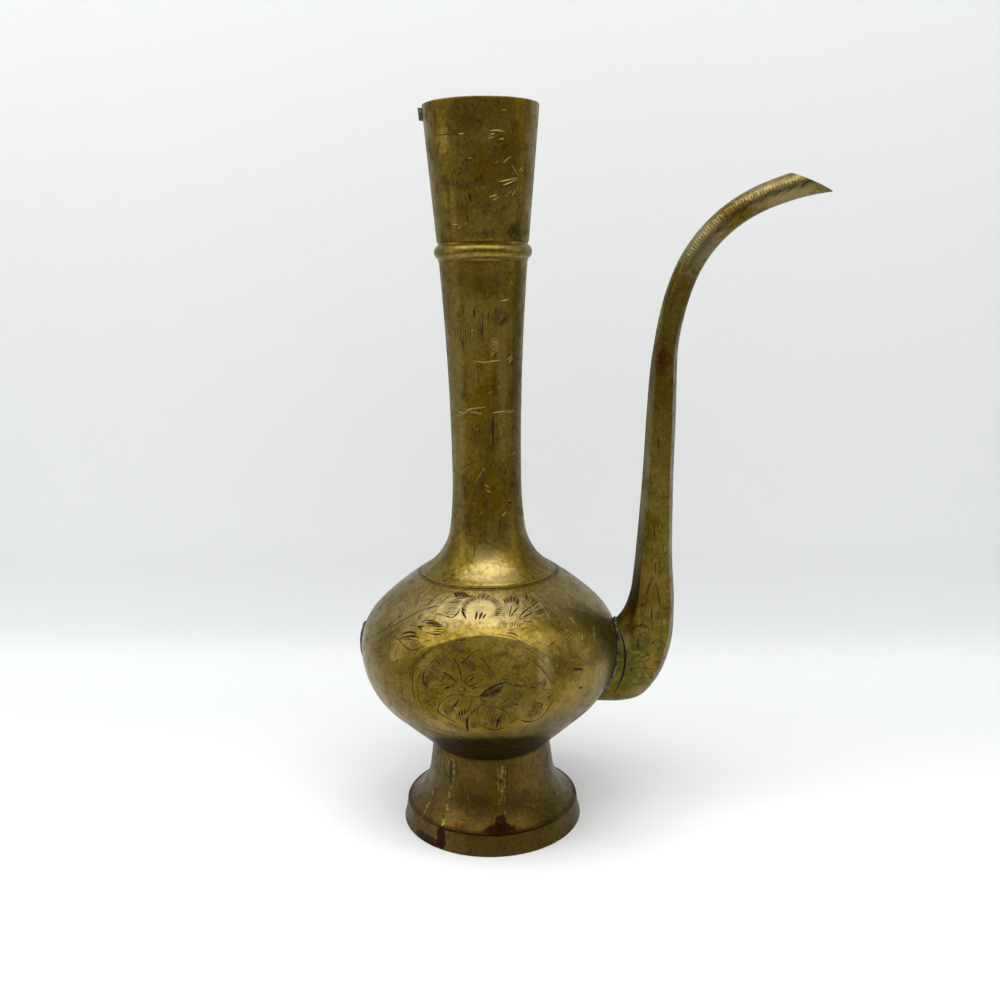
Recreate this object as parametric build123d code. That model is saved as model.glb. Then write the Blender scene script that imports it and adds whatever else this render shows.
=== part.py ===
from build123d import *

# A brass ewer: a pedestal foot, a body of two bowls with a flattened panel on its front and
# back, a tall waisted neck, a flared mouth and a swan-neck spout that springs from the body.
#
# Frame: millimetres, +Z up along the turning axis, the origin at the centre of the foot's
# rest face, the spout towards +X and the front panel towards -Y.
# Outlines are drawn in a section plane whose X is the radius and whose Y is the height.

import math
import os

os.makedirs("parts", exist_ok=True)

# ------------------------------------------------------------------ driving sizes, mm
BRAZE_GAP = 0.05            # room for brazing metal between two fitted pieces
TURNED_WALL = 1.2           # wall of the body, neck and mouth

FOOT_HEIGHT = 37.4          # rest face to the seat under the body
FOOT_BASE_R = 40.0
FOOT_TOE_HEIGHT = 2.8       # splayed edge that meets the table
FOOT_TOE_TOP_R = 39.0
FOOT_BAND_HEIGHT = 8.9
FOOT_BAND_TOP_R = 38.2
FOOT_BAND_STEP = 0.9        # the flare starts this far inside the band
FOOT_STEM_LOW_R = 27.5
FOOT_STEM_TOP_R = 25.8
FOOT_STEM_LENGTH = 13.0
FOOT_WALL = 1.8
FOOT_RIM_WIDTH = 3.0        # width of the ring that rests on the table
FOOT_FILLET = 2.0           # solder fillet under the bowl, inside the foot

BODY_R = 56.1               # at the seam between the two bowls
BOWL_DEPTH = 44.6           # seat on the foot to the seam
BOWL_ARC_R = 36.6
SPIGOT_DEPTH = 4.4          # closed bottom of the bowl, let into the foot
SHOULDER_HEIGHT = 33.7      # seam to the edge of the neck's flare
SHOULDER_ARC_R = 24.5
SHOULDER_TURN = 45.0        # degrees of tight arc above the seam
SEAM_BEAD_WIDTH = 4.0       # braze along the inside of the seam
SEAM_BEAD_RISE = 0.8

PANEL_INSET = 7.4           # flattened panels, inside the body's widest radius
PANEL_DROP = 4.0            # their middle, below the seam
PANEL_TILT = 4.0            # degrees that a panel leans back at its top

NECK_EDGE_R = 28.4          # edge of the neck's flare on the shoulder
NECK_FLARE_HEIGHT = 18.8
NECK_FLARE_TOP_R = 16.0
NECK_WAIST_HEIGHT = 41.3    # above the flare's edge
NECK_WAIST_R = 14.6
NECK_HEIGHT = 132.9         # flare's edge to the joint with the mouth
NECK_TOP_R = 18.4
LAP_LENGTH = 6.0            # lip of the shoulder that runs under the flare
LAP_WALL = 1.0
NECK_LINE_OFFSET = 1.5      # turned line on the shoulder, outside the flare's edge
NECK_LINE_DEPTH = 0.3

MOUTH_HEIGHT = 56.4         # joint to rim
MOUTH_RIM_R = 23.35
MOUTH_SPIGOT_DEPTH = 8.0
MOUTH_SPIGOT_WALL = 1.0

RING_RISE = 1.6             # crest of the ring, outside the neck's radius at the joint
RING_HEIGHT = 7.6
RING_LAND = 1.0             # flat above and below the bead
RING_LAND_WALL = 0.4
RING_SEAT_DEPTH = 0.19      # the ring's seat is turned this deep in the neck, at its lower end

# Points of the spout are radius and height from the outermost point of the seam.
SPOUT_WALL = 1.3
SPOUT_SHAFT_FOOT = (15.2, 38.0)      # where the straight shaft's centreline starts
SPOUT_SHAFT_HEADING = 88.1           # degrees from level
SPOUT_SHAFT_LENGTH = 79.0
SPOUT_SHAFT_STEPS = 4                # sections along the shaft
SPOUT_BENDS = ((123.0, 16.5), (56.6, 48.3), (99.4, 18.0))    # radius, degrees turned
SPOUT_STEP = 12.0                    # spacing of the sections along the bends
SPOUT_BEVEL = 2.2                    # width of the bevel along each edge of the shaft
SPOUT_SWELL = 0.03                   # rise of the shaft's broad faces, as a share of the half depth
# Along the shaft and bends: distance, width seen from the front, half depth, roundness from 0 to 1.
SPOUT_TAPER = (
    (0.0, 15.9, 7.6, 0.25),
    (20.0, 14.1, 7.1, 0.10),
    (40.0, 12.8, 6.6, 0.05),
    (70.0, 12.1, 6.1, 0.10),
    (90.0, 10.1, 5.5, 0.45),
    (110.0, 10.0, 5.1, 1.0),
    (150.0, 10.2, 5.1, 1.0),
    (205.0, 10.9, 5.5, 1.0),
)
# Elbow from body to shaft: inner and outer point, half depth, roundness.
SPOUT_ELBOW = (
    ((-10.1, 4.0), (-19.1, -27.8), 9.6, 0.9),
    ((-5.1, 7.6), (-9.1, -28.1), 9.7, 0.9),
    ((-0.6, 10.3), (0.9, -28.2), 9.8, 0.9),
    ((2.1, 13.8), (9.9, -25.9), 9.8, 0.9),
    ((3.5, 16.6), (16.4, -19.1), 9.6, 0.85),
    ((4.6, 19.8), (20.9, -10.3), 9.2, 0.75),
    ((5.7, 24.0), (23.9, 2.4), 8.7, 0.6),
    ((6.4, 29.5), (24.3, 20.0), 8.1, 0.4),
)
SPOUT_CUT_TILT = 23.6                # degrees that the cut at the tip falls towards the lip
SPOUT_LIP_TRIM = 2.5                 # from the path's end back to the lip
POUR_HOLE_TALL = 17.0                # hole from the bowl into the spout
POUR_HOLE_WIDE = 9.0
POUR_HOLE_DROP = 11.6                # its middle, below the seam
SOLDER_WIDTH = 1.3                   # bead of solder round the spout's root
SOLDER_RISE = 1.4

SCAR_WIDE = 10.4            # solder left on the seam, opposite the spout
SCAR_TALL = 18.0
SCAR_RISE = 1.0
RIM_LUMP_WIDE = 6.0         # solder left on the rim, above it
RIM_LUMP_TALL = 5.2
RIM_LUMP_RISE = 1.7
RIM_LUMP_DROP = 3.0         # its middle, below the rim

CLEARANCE_BOX = 400.0                # larger than the whole ewer, for trimming

# ------------------------------------------------------------------ heights that follow
SEAM_Z = FOOT_HEIGHT + BOWL_DEPTH
NECK_EDGE_Z = SEAM_Z + SHOULDER_HEIGHT
WAIST_Z = NECK_EDGE_Z + NECK_WAIST_HEIGHT
JOINT_Z = NECK_EDGE_Z + NECK_HEIGHT
RIM_Z = JOINT_Z + MOUTH_HEIGHT
SPIGOT_R = FOOT_STEM_TOP_R - FOOT_WALL - BRAZE_GAP
SPIGOT_Z = FOOT_HEIGHT - SPIGOT_DEPTH
RING_R = NECK_TOP_R + RING_RISE
RING_LOW_Z = JOINT_Z - RING_HEIGHT / 2
RING_TOP_Z = JOINT_Z + RING_HEIGHT / 2
SPOUT_BEND_LENGTH = sum(math.radians(angle) * radius for radius, angle in SPOUT_BENDS)


# ------------------------------------------------------------------ geometry helpers
def towards(angle):
    """Unit vector at an angle in degrees."""
    return Vector(math.cos(math.radians(angle)), math.sin(math.radians(angle)))


def angle_of(vector):
    """Angle of a vector in degrees, from 0 to 360."""
    return math.degrees(math.atan2(vector.Y, vector.X)) % 360


def arc_about(centre, radius, start, end):
    """Arc about a centre from one angle to another."""
    points = [centre + towards(angle) * radius for angle in (start, (start + end) / 2, end)]
    return ThreePointArc(*points)


def tangent_radius(point, normal, through):
    """Radius of the circle that is square to a normal at one point and passes through another."""
    chord = through - point
    return chord.dot(chord) / (2 * normal.dot(chord))


def turn(edges):
    """Turn a closed outline of edges about Z."""
    return revolve(Plane.XZ * make_face(Curve() + edges), Axis.Z)


def turned_polygon(*points):
    """Turn a closed outline of straight lines about Z."""
    return revolve(Plane.XZ * make_face(Polyline(*points, close=True)), Axis.Z)


def half_space():
    """Block that fills everything above the XY plane."""
    size = CLEARANCE_BOX
    return Box(size, size, size, align=(Align.CENTER, Align.CENTER, Align.MIN))


def above(height):
    """Everything above a height."""
    return Location((0, 0, height)) * half_space()


# ------------------------------------------------------------------ curves of the body and neck
SEAM_POINT = Vector(BODY_R, SEAM_Z)
BOWL_CENTRE = Vector(BODY_R - BOWL_ARC_R, SEAM_Z)
SEAT = Vector(FOOT_STEM_TOP_R, FOOT_HEIGHT)
SEAT_REACH = SEAT - BOWL_CENTRE
BOWL_START = angle_of(SEAT_REACH) + math.degrees(math.acos(BOWL_ARC_R / SEAT_REACH.length)) - 360

SHOULDER_CENTRE = Vector(BODY_R - SHOULDER_ARC_R, SEAM_Z)
CROWN_START = SHOULDER_CENTRE + towards(SHOULDER_TURN) * SHOULDER_ARC_R
NECK_EDGE = Vector(NECK_EDGE_R, NECK_EDGE_Z)
CROWN_R = tangent_radius(CROWN_START, towards(SHOULDER_TURN + 180), NECK_EDGE)
CROWN_CENTRE = CROWN_START - towards(SHOULDER_TURN) * CROWN_R
CROWN_END = angle_of(NECK_EDGE - CROWN_CENTRE)

FLARE_TOP = Vector(NECK_FLARE_TOP_R, NECK_EDGE_Z + NECK_FLARE_HEIGHT)
WAIST = Vector(NECK_WAIST_R, WAIST_Z)
LOW_WAIST_R = tangent_radius(WAIST, Vector(1, 0), FLARE_TOP)
LOW_WAIST_CENTRE = WAIST + Vector(LOW_WAIST_R, 0)
LOW_WAIST_END = angle_of(FLARE_TOP - LOW_WAIST_CENTRE)
FLARE_R = tangent_radius(FLARE_TOP, towards(LOW_WAIST_END - 180), NECK_EDGE)
FLARE_CENTRE = FLARE_TOP + towards(LOW_WAIST_END - 180) * FLARE_R
FLARE_END = angle_of(NECK_EDGE - FLARE_CENTRE)
HIGH_WAIST_R = tangent_radius(WAIST, Vector(1, 0), Vector(NECK_TOP_R, JOINT_Z))
HIGH_WAIST_CENTRE = WAIST + Vector(HIGH_WAIST_R, 0)


def neck_angle(height, depth):
    """Angle on the neck's upper curve, a depth inside its surface, at a height."""
    return 180 - math.degrees(math.asin((height - WAIST_Z) / (HIGH_WAIST_R + depth)))


def neck_radius(height, depth):
    """Radius of the neck's upper curve, a depth inside its surface, at a height."""
    return (HIGH_WAIST_CENTRE + towards(neck_angle(height, depth)) * (HIGH_WAIST_R + depth)).X


RING_SEAT_R = neck_radius(RING_LOW_Z, 0) - RING_SEAT_DEPTH


# ------------------------------------------------------------------ body
def beyond_panels(depth):
    """Everything beyond the two flattened panels, a depth inside their surface."""
    tilt = math.radians(PANEL_TILT)
    normal = Vector(0, -math.cos(tilt), math.sin(tilt))
    middle = Vector(0, PANEL_INSET - BODY_R, SEAM_Z - PANEL_DROP)
    front = Plane(middle - normal * depth, x_dir=(1, 0, 0), z_dir=normal) * half_space()
    return front + mirror(front, about=Plane.XZ)


def vessel(depth, opened=False):
    """Solid form of the whole body, a depth inside its surface, closed at the neck or opened through it."""
    low_z = SPIGOT_Z + depth
    spigot_r = SPIGOT_R - depth
    seat = SEAT - towards(BOWL_START) * depth
    end = CROWN_END - math.degrees(BRAZE_GAP / CROWN_R) if opened else CROWN_END
    brim = CROWN_CENTRE + towards(end) * (CROWN_R - depth)
    outer_brim = CROWN_CENTRE + towards(end) * (CROWN_R + LAP_LENGTH) if opened else brim
    edges = [
        Polyline((0, low_z), (spigot_r, low_z), (spigot_r, FOOT_HEIGHT + depth), seat),
        Line(seat, BOWL_CENTRE + towards(BOWL_START) * (BOWL_ARC_R - depth)),
        arc_about(BOWL_CENTRE, BOWL_ARC_R - depth, BOWL_START, 0),
        arc_about(SHOULDER_CENTRE, SHOULDER_ARC_R - depth, 0, SHOULDER_TURN),
        arc_about(CROWN_CENTRE, CROWN_R - depth, SHOULDER_TURN, end),
        Line((0, outer_brim.Y), (0, low_z)),
    ]
    edges.append(Polyline(brim, outer_brim, (0, outer_brim.Y)) if opened else Line(brim, (0, brim.Y)))
    return turn(edges) - beyond_panels(depth)


def band(centre, start, end, near, far):
    """Turned band between two radii about a centre, from one angle to another."""
    corners = [centre + towards(angle) * radius for angle in (start, end) for radius in (near, far)]
    return turn([
        arc_about(centre, near, start, end),
        arc_about(centre, far, start, end),
        Line(corners[0], corners[1]),
        Line(corners[2], corners[3]),
    ])


def shoulder_lip():
    """Lip of the shoulder that runs under the neck's flare."""
    inner = TURNED_WALL + BRAZE_GAP
    reach = math.degrees(LAP_LENGTH / CROWN_R)
    gap = math.degrees(BRAZE_GAP / CROWN_R)
    root = band(CROWN_CENTRE, CROWN_END - reach, CROWN_END - gap,
                CROWN_R - inner - LAP_WALL, CROWN_R - TURNED_WALL / 2)
    bridge = band(CROWN_CENTRE, CROWN_END - reach / 2, CROWN_END + gap,
                  CROWN_R - inner - LAP_WALL, CROWN_R - inner)
    lip = band(FLARE_CENTRE, FLARE_END - math.degrees(LAP_LENGTH / FLARE_R), FLARE_END,
               FLARE_R + inner, FLARE_R + inner + LAP_WALL)
    down, across = towards(CROWN_END) * -1, towards(FLARE_END)
    outer = inner + LAP_WALL
    corners = [NECK_EDGE + way for way in (down * inner, down * outer, across * outer, across * inner)]
    return root + bridge + lip + turned_polygon(*corners)


def neck_line():
    """Turned line on the shoulder beside the neck's edge."""
    side = math.degrees(2 * NECK_LINE_DEPTH / CROWN_R)
    middle = CROWN_END - math.degrees(NECK_LINE_OFFSET / CROWN_R)
    outside = CROWN_R + NECK_LINE_DEPTH
    wide = [CROWN_CENTRE + towards(angle) * outside for angle in (middle - side, middle + side)]
    return turned_polygon(*wide, CROWN_CENTRE + towards(middle) * (CROWN_R - NECK_LINE_DEPTH))


def pour_hole():
    """Hole from the bowl into the spout, with its long way up."""
    sketch = Plane.YZ * SlotOverall(POUR_HOLE_TALL, POUR_HOLE_WIDE, rotation=90)
    return Location((0, 0, SEAM_Z - POUR_HOLE_DROP)) * extrude(sketch, BODY_R + SPOUT_WALL)


def body_shells():
    """Lower bowl and shoulder, which meet at the seam."""
    shell = vessel(0) - vessel(TURNED_WALL, opened=True)
    lower = shell - above(SEAM_Z) - pour_hole()
    upper = (shell & above(SEAM_Z)) + shoulder_lip() - neck_line()
    return lower, upper


def seam_bead():
    """Braze along the inside of the seam, which follows the panels."""
    outer = TURNED_WALL + BRAZE_GAP
    ring = vessel(outer) - vessel(outer + SEAM_BEAD_RISE)
    return (ring & above(SEAM_Z - SEAM_BEAD_WIDTH / 2)) - above(SEAM_Z + SEAM_BEAD_WIDTH / 2)


# ------------------------------------------------------------------ foot
def pedestal_foot():
    """Hollow foot: a splayed toe, a band, a step, a flare and a stem that holds the bowl."""
    stem_low = Vector(FOOT_STEM_LOW_R, FOOT_HEIGHT - FOOT_STEM_LENGTH)
    stem = SEAT - stem_low
    normal = Vector(stem.Y, -stem.X).normalized()
    flare_end = Vector(FOOT_BAND_TOP_R - FOOT_BAND_STEP, FOOT_BAND_HEIGHT)
    flare_r = tangent_radius(stem_low, normal, flare_end)
    centre = stem_low + normal * flare_r
    start, end = angle_of(stem_low - centre), angle_of(flare_end - centre)
    bore_r = SPIGOT_R + BRAZE_GAP
    inner_end = centre + towards(end) * (flare_r + FOOT_WALL)
    return turn([
        Polyline(flare_end, (FOOT_BAND_TOP_R, FOOT_BAND_HEIGHT), (FOOT_TOE_TOP_R, FOOT_TOE_HEIGHT),
                 (FOOT_BASE_R, 0), (FOOT_BASE_R - FOOT_RIM_WIDTH, 0), inner_end),
        arc_about(centre, flare_r + FOOT_WALL, end, start),
        Polyline(centre + towards(start) * (flare_r + FOOT_WALL), (bore_r, SPIGOT_Z - FOOT_FILLET),
                 (bore_r, FOOT_HEIGHT), SEAT, stem_low),
        arc_about(centre, flare_r, start, end),
    ])


def foot_fillet():
    """Solder fillet between the bowl's bottom and the foot's bore."""
    inner_r = SPIGOT_R - FOOT_FILLET
    return turned_polygon((inner_r, SPIGOT_Z), (SPIGOT_R, SPIGOT_Z), (SPIGOT_R, SPIGOT_Z - FOOT_FILLET))


# ------------------------------------------------------------------ neck, ring and mouth
def neck_tube():
    """Waisted neck, flared at its foot, with half of the ring's seat at its top."""
    wall = TURNED_WALL
    top = neck_angle(JOINT_Z, 0)
    inner_top = neck_angle(JOINT_Z, wall)
    outline = [
        Line(NECK_EDGE, FLARE_CENTRE + towards(FLARE_END) * (FLARE_R + wall)),
        Line((neck_radius(JOINT_Z, wall), JOINT_Z), (NECK_TOP_R, JOINT_Z)),
        arc_about(FLARE_CENTRE, FLARE_R, FLARE_END, LOW_WAIST_END),
        arc_about(LOW_WAIST_CENTRE, LOW_WAIST_R, LOW_WAIST_END, 180),
        arc_about(HIGH_WAIST_CENTRE, HIGH_WAIST_R, 180, top),
        arc_about(FLARE_CENTRE, FLARE_R + wall, FLARE_END, LOW_WAIST_END),
        arc_about(LOW_WAIST_CENTRE, LOW_WAIST_R + wall, LOW_WAIST_END, 180),
        arc_about(HIGH_WAIST_CENTRE, HIGH_WAIST_R + wall, 180, inner_top),
    ]
    return turn(outline) - ring_seat()


def ring_seat():
    """Room for the ring round the joint."""
    low = [(radius, RING_LOW_Z) for radius in (RING_SEAT_R, RING_R)]
    top = [(radius, RING_TOP_Z) for radius in (RING_R, RING_SEAT_R)]
    return turned_polygon(*low, *top)


def neck_ring():
    """Ring with a bead, which covers the joint between neck and mouth."""
    bore = RING_SEAT_R + BRAZE_GAP
    land = bore + RING_LAND_WALL
    low = RING_LOW_Z + BRAZE_GAP
    top = RING_TOP_Z - BRAZE_GAP
    bead_low, bead_top = (land, low + RING_LAND), (land, top - RING_LAND)
    return turn([
        Polyline(bead_low, (land, low), (bore, low), (bore, top), (land, top), bead_top),
        ThreePointArc(bead_low, (RING_R, JOINT_Z), bead_top),
    ])


def mouth_funnel():
    """Flared mouth with a spigot that stands in the neck."""
    slope = Vector(MOUTH_RIM_R - NECK_TOP_R, MOUTH_HEIGHT)
    level_wall = TURNED_WALL * slope.length / slope.Y
    spigot_low = JOINT_Z - MOUTH_SPIGOT_DEPTH
    spigot_r = neck_radius(spigot_low, TURNED_WALL) - BRAZE_GAP
    bore_r = spigot_r - MOUTH_SPIGOT_WALL
    inner_foot = (NECK_TOP_R - level_wall, JOINT_Z + TURNED_WALL)
    cone = turned_polygon((bore_r, JOINT_Z), (NECK_TOP_R, JOINT_Z), (MOUTH_RIM_R, RIM_Z),
                          (MOUTH_RIM_R - level_wall, RIM_Z), inner_foot)
    spigot = turned_polygon((bore_r, spigot_low), (spigot_r, spigot_low),
                            (spigot_r, JOINT_Z), (bore_r, JOINT_Z))
    return cone + spigot - ring_seat()


# ------------------------------------------------------------------ spout
def spout_centre(distance):
    """Point and heading of the spout's centreline at a distance along shaft and bends."""
    heading = SPOUT_SHAFT_HEADING
    run = min(distance, SPOUT_SHAFT_LENGTH)
    point = SEAM_POINT + Vector(*SPOUT_SHAFT_FOOT) + towards(heading) * run
    left = distance - run
    for radius, angle in SPOUT_BENDS:
        turned_by = min(math.degrees(left / radius), angle)
        centre = point + towards(heading - 90) * radius
        heading -= turned_by
        point = centre + towards(heading + 90) * radius
        left -= math.radians(turned_by) * radius
    return point, heading


def along_taper(distance):
    """Width, half depth and roundness at a distance along shaft and bends."""
    for (start, *low), (end, *high) in zip(SPOUT_TAPER, SPOUT_TAPER[1:]):
        if distance <= end:
            share = (distance - start) / (end - start)
            return [a + (b - a) * share for a, b in zip(low, high)]
    return SPOUT_TAPER[-1][1:]


def spout_stations():
    """Inner point, outer point, half depth and roundness of every section from body to tip."""
    stations = [
        (SEAM_POINT + Vector(*inner), SEAM_POINT + Vector(*outer), depth, roundness)
        for inner, outer, depth, roundness in SPOUT_ELBOW
    ]
    bend_steps = round(SPOUT_BEND_LENGTH / SPOUT_STEP)
    bend_step = SPOUT_BEND_LENGTH / bend_steps
    distances = [SPOUT_SHAFT_LENGTH * step / SPOUT_SHAFT_STEPS for step in range(SPOUT_SHAFT_STEPS)]
    distances += [SPOUT_SHAFT_LENGTH + bend_step * step for step in range(bend_steps + 1)]
    for distance in distances:
        point, heading = spout_centre(distance)
        width, depth, roundness = along_taper(distance)
        across = towards(heading + 90) * (width / 2)
        stations.append((point + across, point - across, depth, roundness))
    return stations


def half_outline(width, depth, roundness):
    """Ends and middles of the three edges of a half section, from its inner to its outer edge."""
    def mix(flat, full):
        return flat * (1 - roundness) + full * roundness

    def on_oval(angle):
        return Vector(math.cos(math.radians(angle)) * width / 2, math.sin(math.radians(angle)) * depth)

    swell = Vector(0, SPOUT_SWELL * depth)
    corners = [
        Vector(-width / 2, 0),
        mix(Vector(SPOUT_BEVEL - width / 2, depth - swell.Y), on_oval(130)),
        mix(Vector(width / 2 - SPOUT_BEVEL, depth - swell.Y), on_oval(50)),
        Vector(width / 2, 0),
    ]
    middles = [
        mix((low + high) / 2 + swell, on_oval(angle))
        for low, high, angle in zip(corners, corners[1:], (155, 90, 25))
    ]
    return corners, middles


def half_section(station, grow, wall):
    """Front half of one section of the spout: a channel with a wall, or solid when wall is None."""
    inner, outer, depth, roundness = station
    middle = (inner + outer) / 2
    across = (outer - inner).normalized()
    width = (outer - inner).length + 2 * grow

    def placed(point):
        flat = middle + across * point.X
        return Vector(flat.X, -point.Y, flat.Y)

    def edges(corners, middles):
        return [
            ThreePointArc(placed(low), placed(mid), placed(high))
            for low, mid, high in zip(corners, middles, corners[1:])
        ]

    corners, middles = half_outline(width, depth + grow, roundness)
    skin = edges(corners, middles)
    if wall is None:
        return make_face(Curve() + skin + [Line(placed(corners[0]), placed(corners[-1]))])
    bore_corners, bore_middles = half_outline(width - 2 * wall, depth - wall, roundness)
    bore = edges(bore_corners, bore_middles)
    rims = [Line(placed(corners[side]), placed(bore_corners[side])) for side in (0, -1)]
    return make_face(Curve() + skin + bore + rims)


def beyond_tip():
    """Everything beyond the slanted cut at the spout's tip."""
    outer = spout_stations()[-1][1]
    heading = spout_centre(SPOUT_SHAFT_LENGTH + SPOUT_BEND_LENGTH)[1]
    lip = outer - towards(heading) * SPOUT_LIP_TRIM
    upward = towards(90 - SPOUT_CUT_TILT)
    return Plane(Vector(lip.X, 0, lip.Y), x_dir=(0, 1, 0), z_dir=(upward.X, 0, upward.Y)) * half_space()


def spout_half():
    """Front half of the spout, open against the body and cut on a slant at its tip."""
    channel = loft([half_section(station, 0, SPOUT_WALL) for station in spout_stations()])
    return channel - vessel(0) - beyond_tip()


def spout_solder():
    """Bead of solder in the corner between the spout's root and the body."""
    stations = spout_stations()[:len(SPOUT_ELBOW) + 1]
    plain = loft([half_section(station, 0, None) for station in stations])
    grown = loft([half_section(station, SOLDER_WIDTH, None) for station in stations])
    front = (grown & (vessel(-SOLDER_RISE) - vessel(0))) - plain
    return front + mirror(front, about=Plane.XZ)


# ------------------------------------------------------------------ solder left by a lost fitting
def patch_prism(wide, tall, height):
    """Oval bar along -X, for a patch on the side opposite the spout."""
    bar = extrude(Plane.YZ * Ellipse(wide / 2, tall / 2), -CLEARANCE_BOX)
    return Location((0, 0, height)) * bar


def body_scar():
    """Patch of solder on the body, opposite the spout."""
    skin = vessel(-SCAR_RISE) - vessel(0)
    return patch_prism(SCAR_WIDE, SCAR_TALL, SEAM_Z) & skin


def rim_lump():
    """Lump of solder on the outside of the rim, above the scar."""
    inside = [(NECK_TOP_R, JOINT_Z), (MOUTH_RIM_R, RIM_Z)]
    outside = [(radius + RIM_LUMP_RISE, height) for radius, height in reversed(inside)]
    skin = turned_polygon(*inside, *outside)
    return patch_prism(RIM_LUMP_WIDE, RIM_LUMP_TALL, RIM_Z - RIM_LUMP_DROP) & skin


# ------------------------------------------------------------------ build
def build():
    """Make every piece and write one file for each."""
    lower_bowl, shoulder = body_shells()
    front_half = spout_half()
    pieces = {
        "pedestal_foot": pedestal_foot(),
        "foot_solder_fillet": foot_fillet(),
        "lower_bowl": lower_bowl,
        "seam_braze": seam_bead(),
        "upper_bowl": shoulder,
        "neck_tube": neck_tube(),
        "neck_ring": neck_ring(),
        "mouth_funnel": mouth_funnel(),
        "spout_front_half": front_half,
        "spout_back_half": mirror(front_half, about=Plane.XZ),
        "spout_root_solder": spout_solder(),
        "body_solder_scar": body_scar(),
        "rim_solder_lump": rim_lump(),
    }
    for name, piece in pieces.items():
        export_step(piece, f"parts/{name}.step")
        low, high = piece.bounding_box().min.Z, piece.bounding_box().max.Z
        count = len(piece.solids())
        print(f"{name}: {count} solid, {piece.volume:.0f} mm3, z {low:.2f} to {high:.2f}")


if __name__ == "__main__":
    build()
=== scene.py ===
import logging
import math
import random
from contextlib import contextmanager
from dataclasses import dataclass, field
from enum import Enum
from typing import Callable, Iterator, Sequence

import bpy
from mathutils import Matrix, Vector
from mathutils.bvhtree import BVHTree
from mathutils.kdtree import KDTree


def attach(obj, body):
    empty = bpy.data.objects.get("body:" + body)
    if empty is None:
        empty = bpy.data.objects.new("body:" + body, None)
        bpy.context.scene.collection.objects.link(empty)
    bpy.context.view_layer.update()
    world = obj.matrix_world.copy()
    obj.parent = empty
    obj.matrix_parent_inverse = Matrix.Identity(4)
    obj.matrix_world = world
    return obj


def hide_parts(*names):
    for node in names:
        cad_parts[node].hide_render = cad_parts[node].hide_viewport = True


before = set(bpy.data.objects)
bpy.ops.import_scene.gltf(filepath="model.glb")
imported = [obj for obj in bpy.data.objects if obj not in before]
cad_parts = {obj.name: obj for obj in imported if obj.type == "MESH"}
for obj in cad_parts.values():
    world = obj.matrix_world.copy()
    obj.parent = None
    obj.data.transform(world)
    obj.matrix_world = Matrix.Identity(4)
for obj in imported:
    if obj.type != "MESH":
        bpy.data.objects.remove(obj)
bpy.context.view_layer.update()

# A turned, brazed and hand-engraved brass ewer, aged to olive and brown.
# Outlines and sizes are in millimetres and become metres where a mesh is made.

MM = 0.001
BODY = "root"
PICTURE = 1000.0                # width and height of the picture that the camera is set for
SMOOTH_ANGLE = math.radians(24)
SHARP_CORNER = 25.0             # degrees from which a corner of an outline is eased
MOST_EASE = 0.45                # share of a side that one eased corner may take
SPAN_STEPS = 8                  # fine steps between two knots of a curve
FEWEST_STEPS, MOST_STEPS = 3, 40
ORIGIN = (0, 0, 0)
log = logging.getLogger("ewer")

Point = Sequence[float]
Range = tuple[float, float]
Colour = tuple[float, float, float]
Piece = bpy.types.Object
Metal = bpy.types.Material
Nodes = bpy.types.NodeTree
Socket = bpy.types.NodeSocket


# ---------------------------------------------------------------- plane geometry, mm
def towards(angle: float) -> Vector:
    """Return the unit vector of the section plane at an angle in degrees."""
    return Vector((math.cos(math.radians(angle)), math.sin(math.radians(angle))))


def angle_of(vector: Vector) -> float:
    """Return the angle of a vector of the section plane, from 0 to 360 degrees."""
    return math.degrees(math.atan2(vector[1], vector[0])) % 360


def tangent_radius(point: Vector, normal: Vector, through: Vector) -> float:
    """Return the radius of the circle square to a normal at a point that passes through another.

    Args:
        point: Where the circle starts.
        normal: Unit vector from the point towards the circle's centre.
        through: Second point on the circle.

    Returns:
        The radius in the units of the points.
    """
    chord = through - point
    return chord.dot(chord) / (2 * normal.dot(chord))


def arc(centre: Vector, radius: float, start: float, end: float, step: float) -> list[Vector]:
    """Return points along an arc.

    Args:
        centre: Centre in the section plane.
        radius: Radius in mm.
        start: First angle in degrees.
        end: Last angle in degrees.
        step: Longest distance between two points in mm.

    Returns:
        The points, both ends among them.
    """
    count = max(2, math.ceil(math.radians(abs(end - start)) * radius / step))
    return [centre + towards(start + (end - start) * i / count) * radius for i in range(count + 1)]


def line(start: Point, end: Point, step: float) -> list[Vector]:
    """Return points along a straight line, both ends among them."""
    start, end = Vector(start), Vector(end)
    count = max(1, math.ceil((end - start).length / step))
    return [start.lerp(end, i / count) for i in range(count + 1)]


def eased(points: Sequence[Point], ease: float) -> list[Vector]:
    """Round the sharp corners of a closed outline.

    Args:
        points: Corners of the outline in order.
        ease: Distance from a corner at which its rounding starts, in mm.

    Returns:
        The outline with two chords in place of each sharp corner.
    """
    loop = [Vector(p) for p in points]
    loop = [p for i, p in enumerate(loop) if i == 0 or (p - loop[i - 1]).length > 1e-5]
    result = []
    for i, corner in enumerate(loop):
        back = loop[i - 1] - corner
        ahead = loop[(i + 1) % len(loop)] - corner
        if math.degrees(back.angle(-ahead, 0)) < SHARP_CORNER:
            result.append(corner)
            continue
        reach = min(ease, back.length * MOST_EASE, ahead.length * MOST_EASE)
        back, ahead = back.normalized(), ahead.normalized()
        result += [corner + back * reach, corner + (back + ahead) * (reach / 4), corner + ahead * reach]
    return result


# ---------------------------------------------------------------- work at the bench
def clear_selection() -> None:
    """Deselect every object, so that a new primitive stands alone."""
    for other in bpy.context.selected_objects:
        other.select_set(False)


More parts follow.
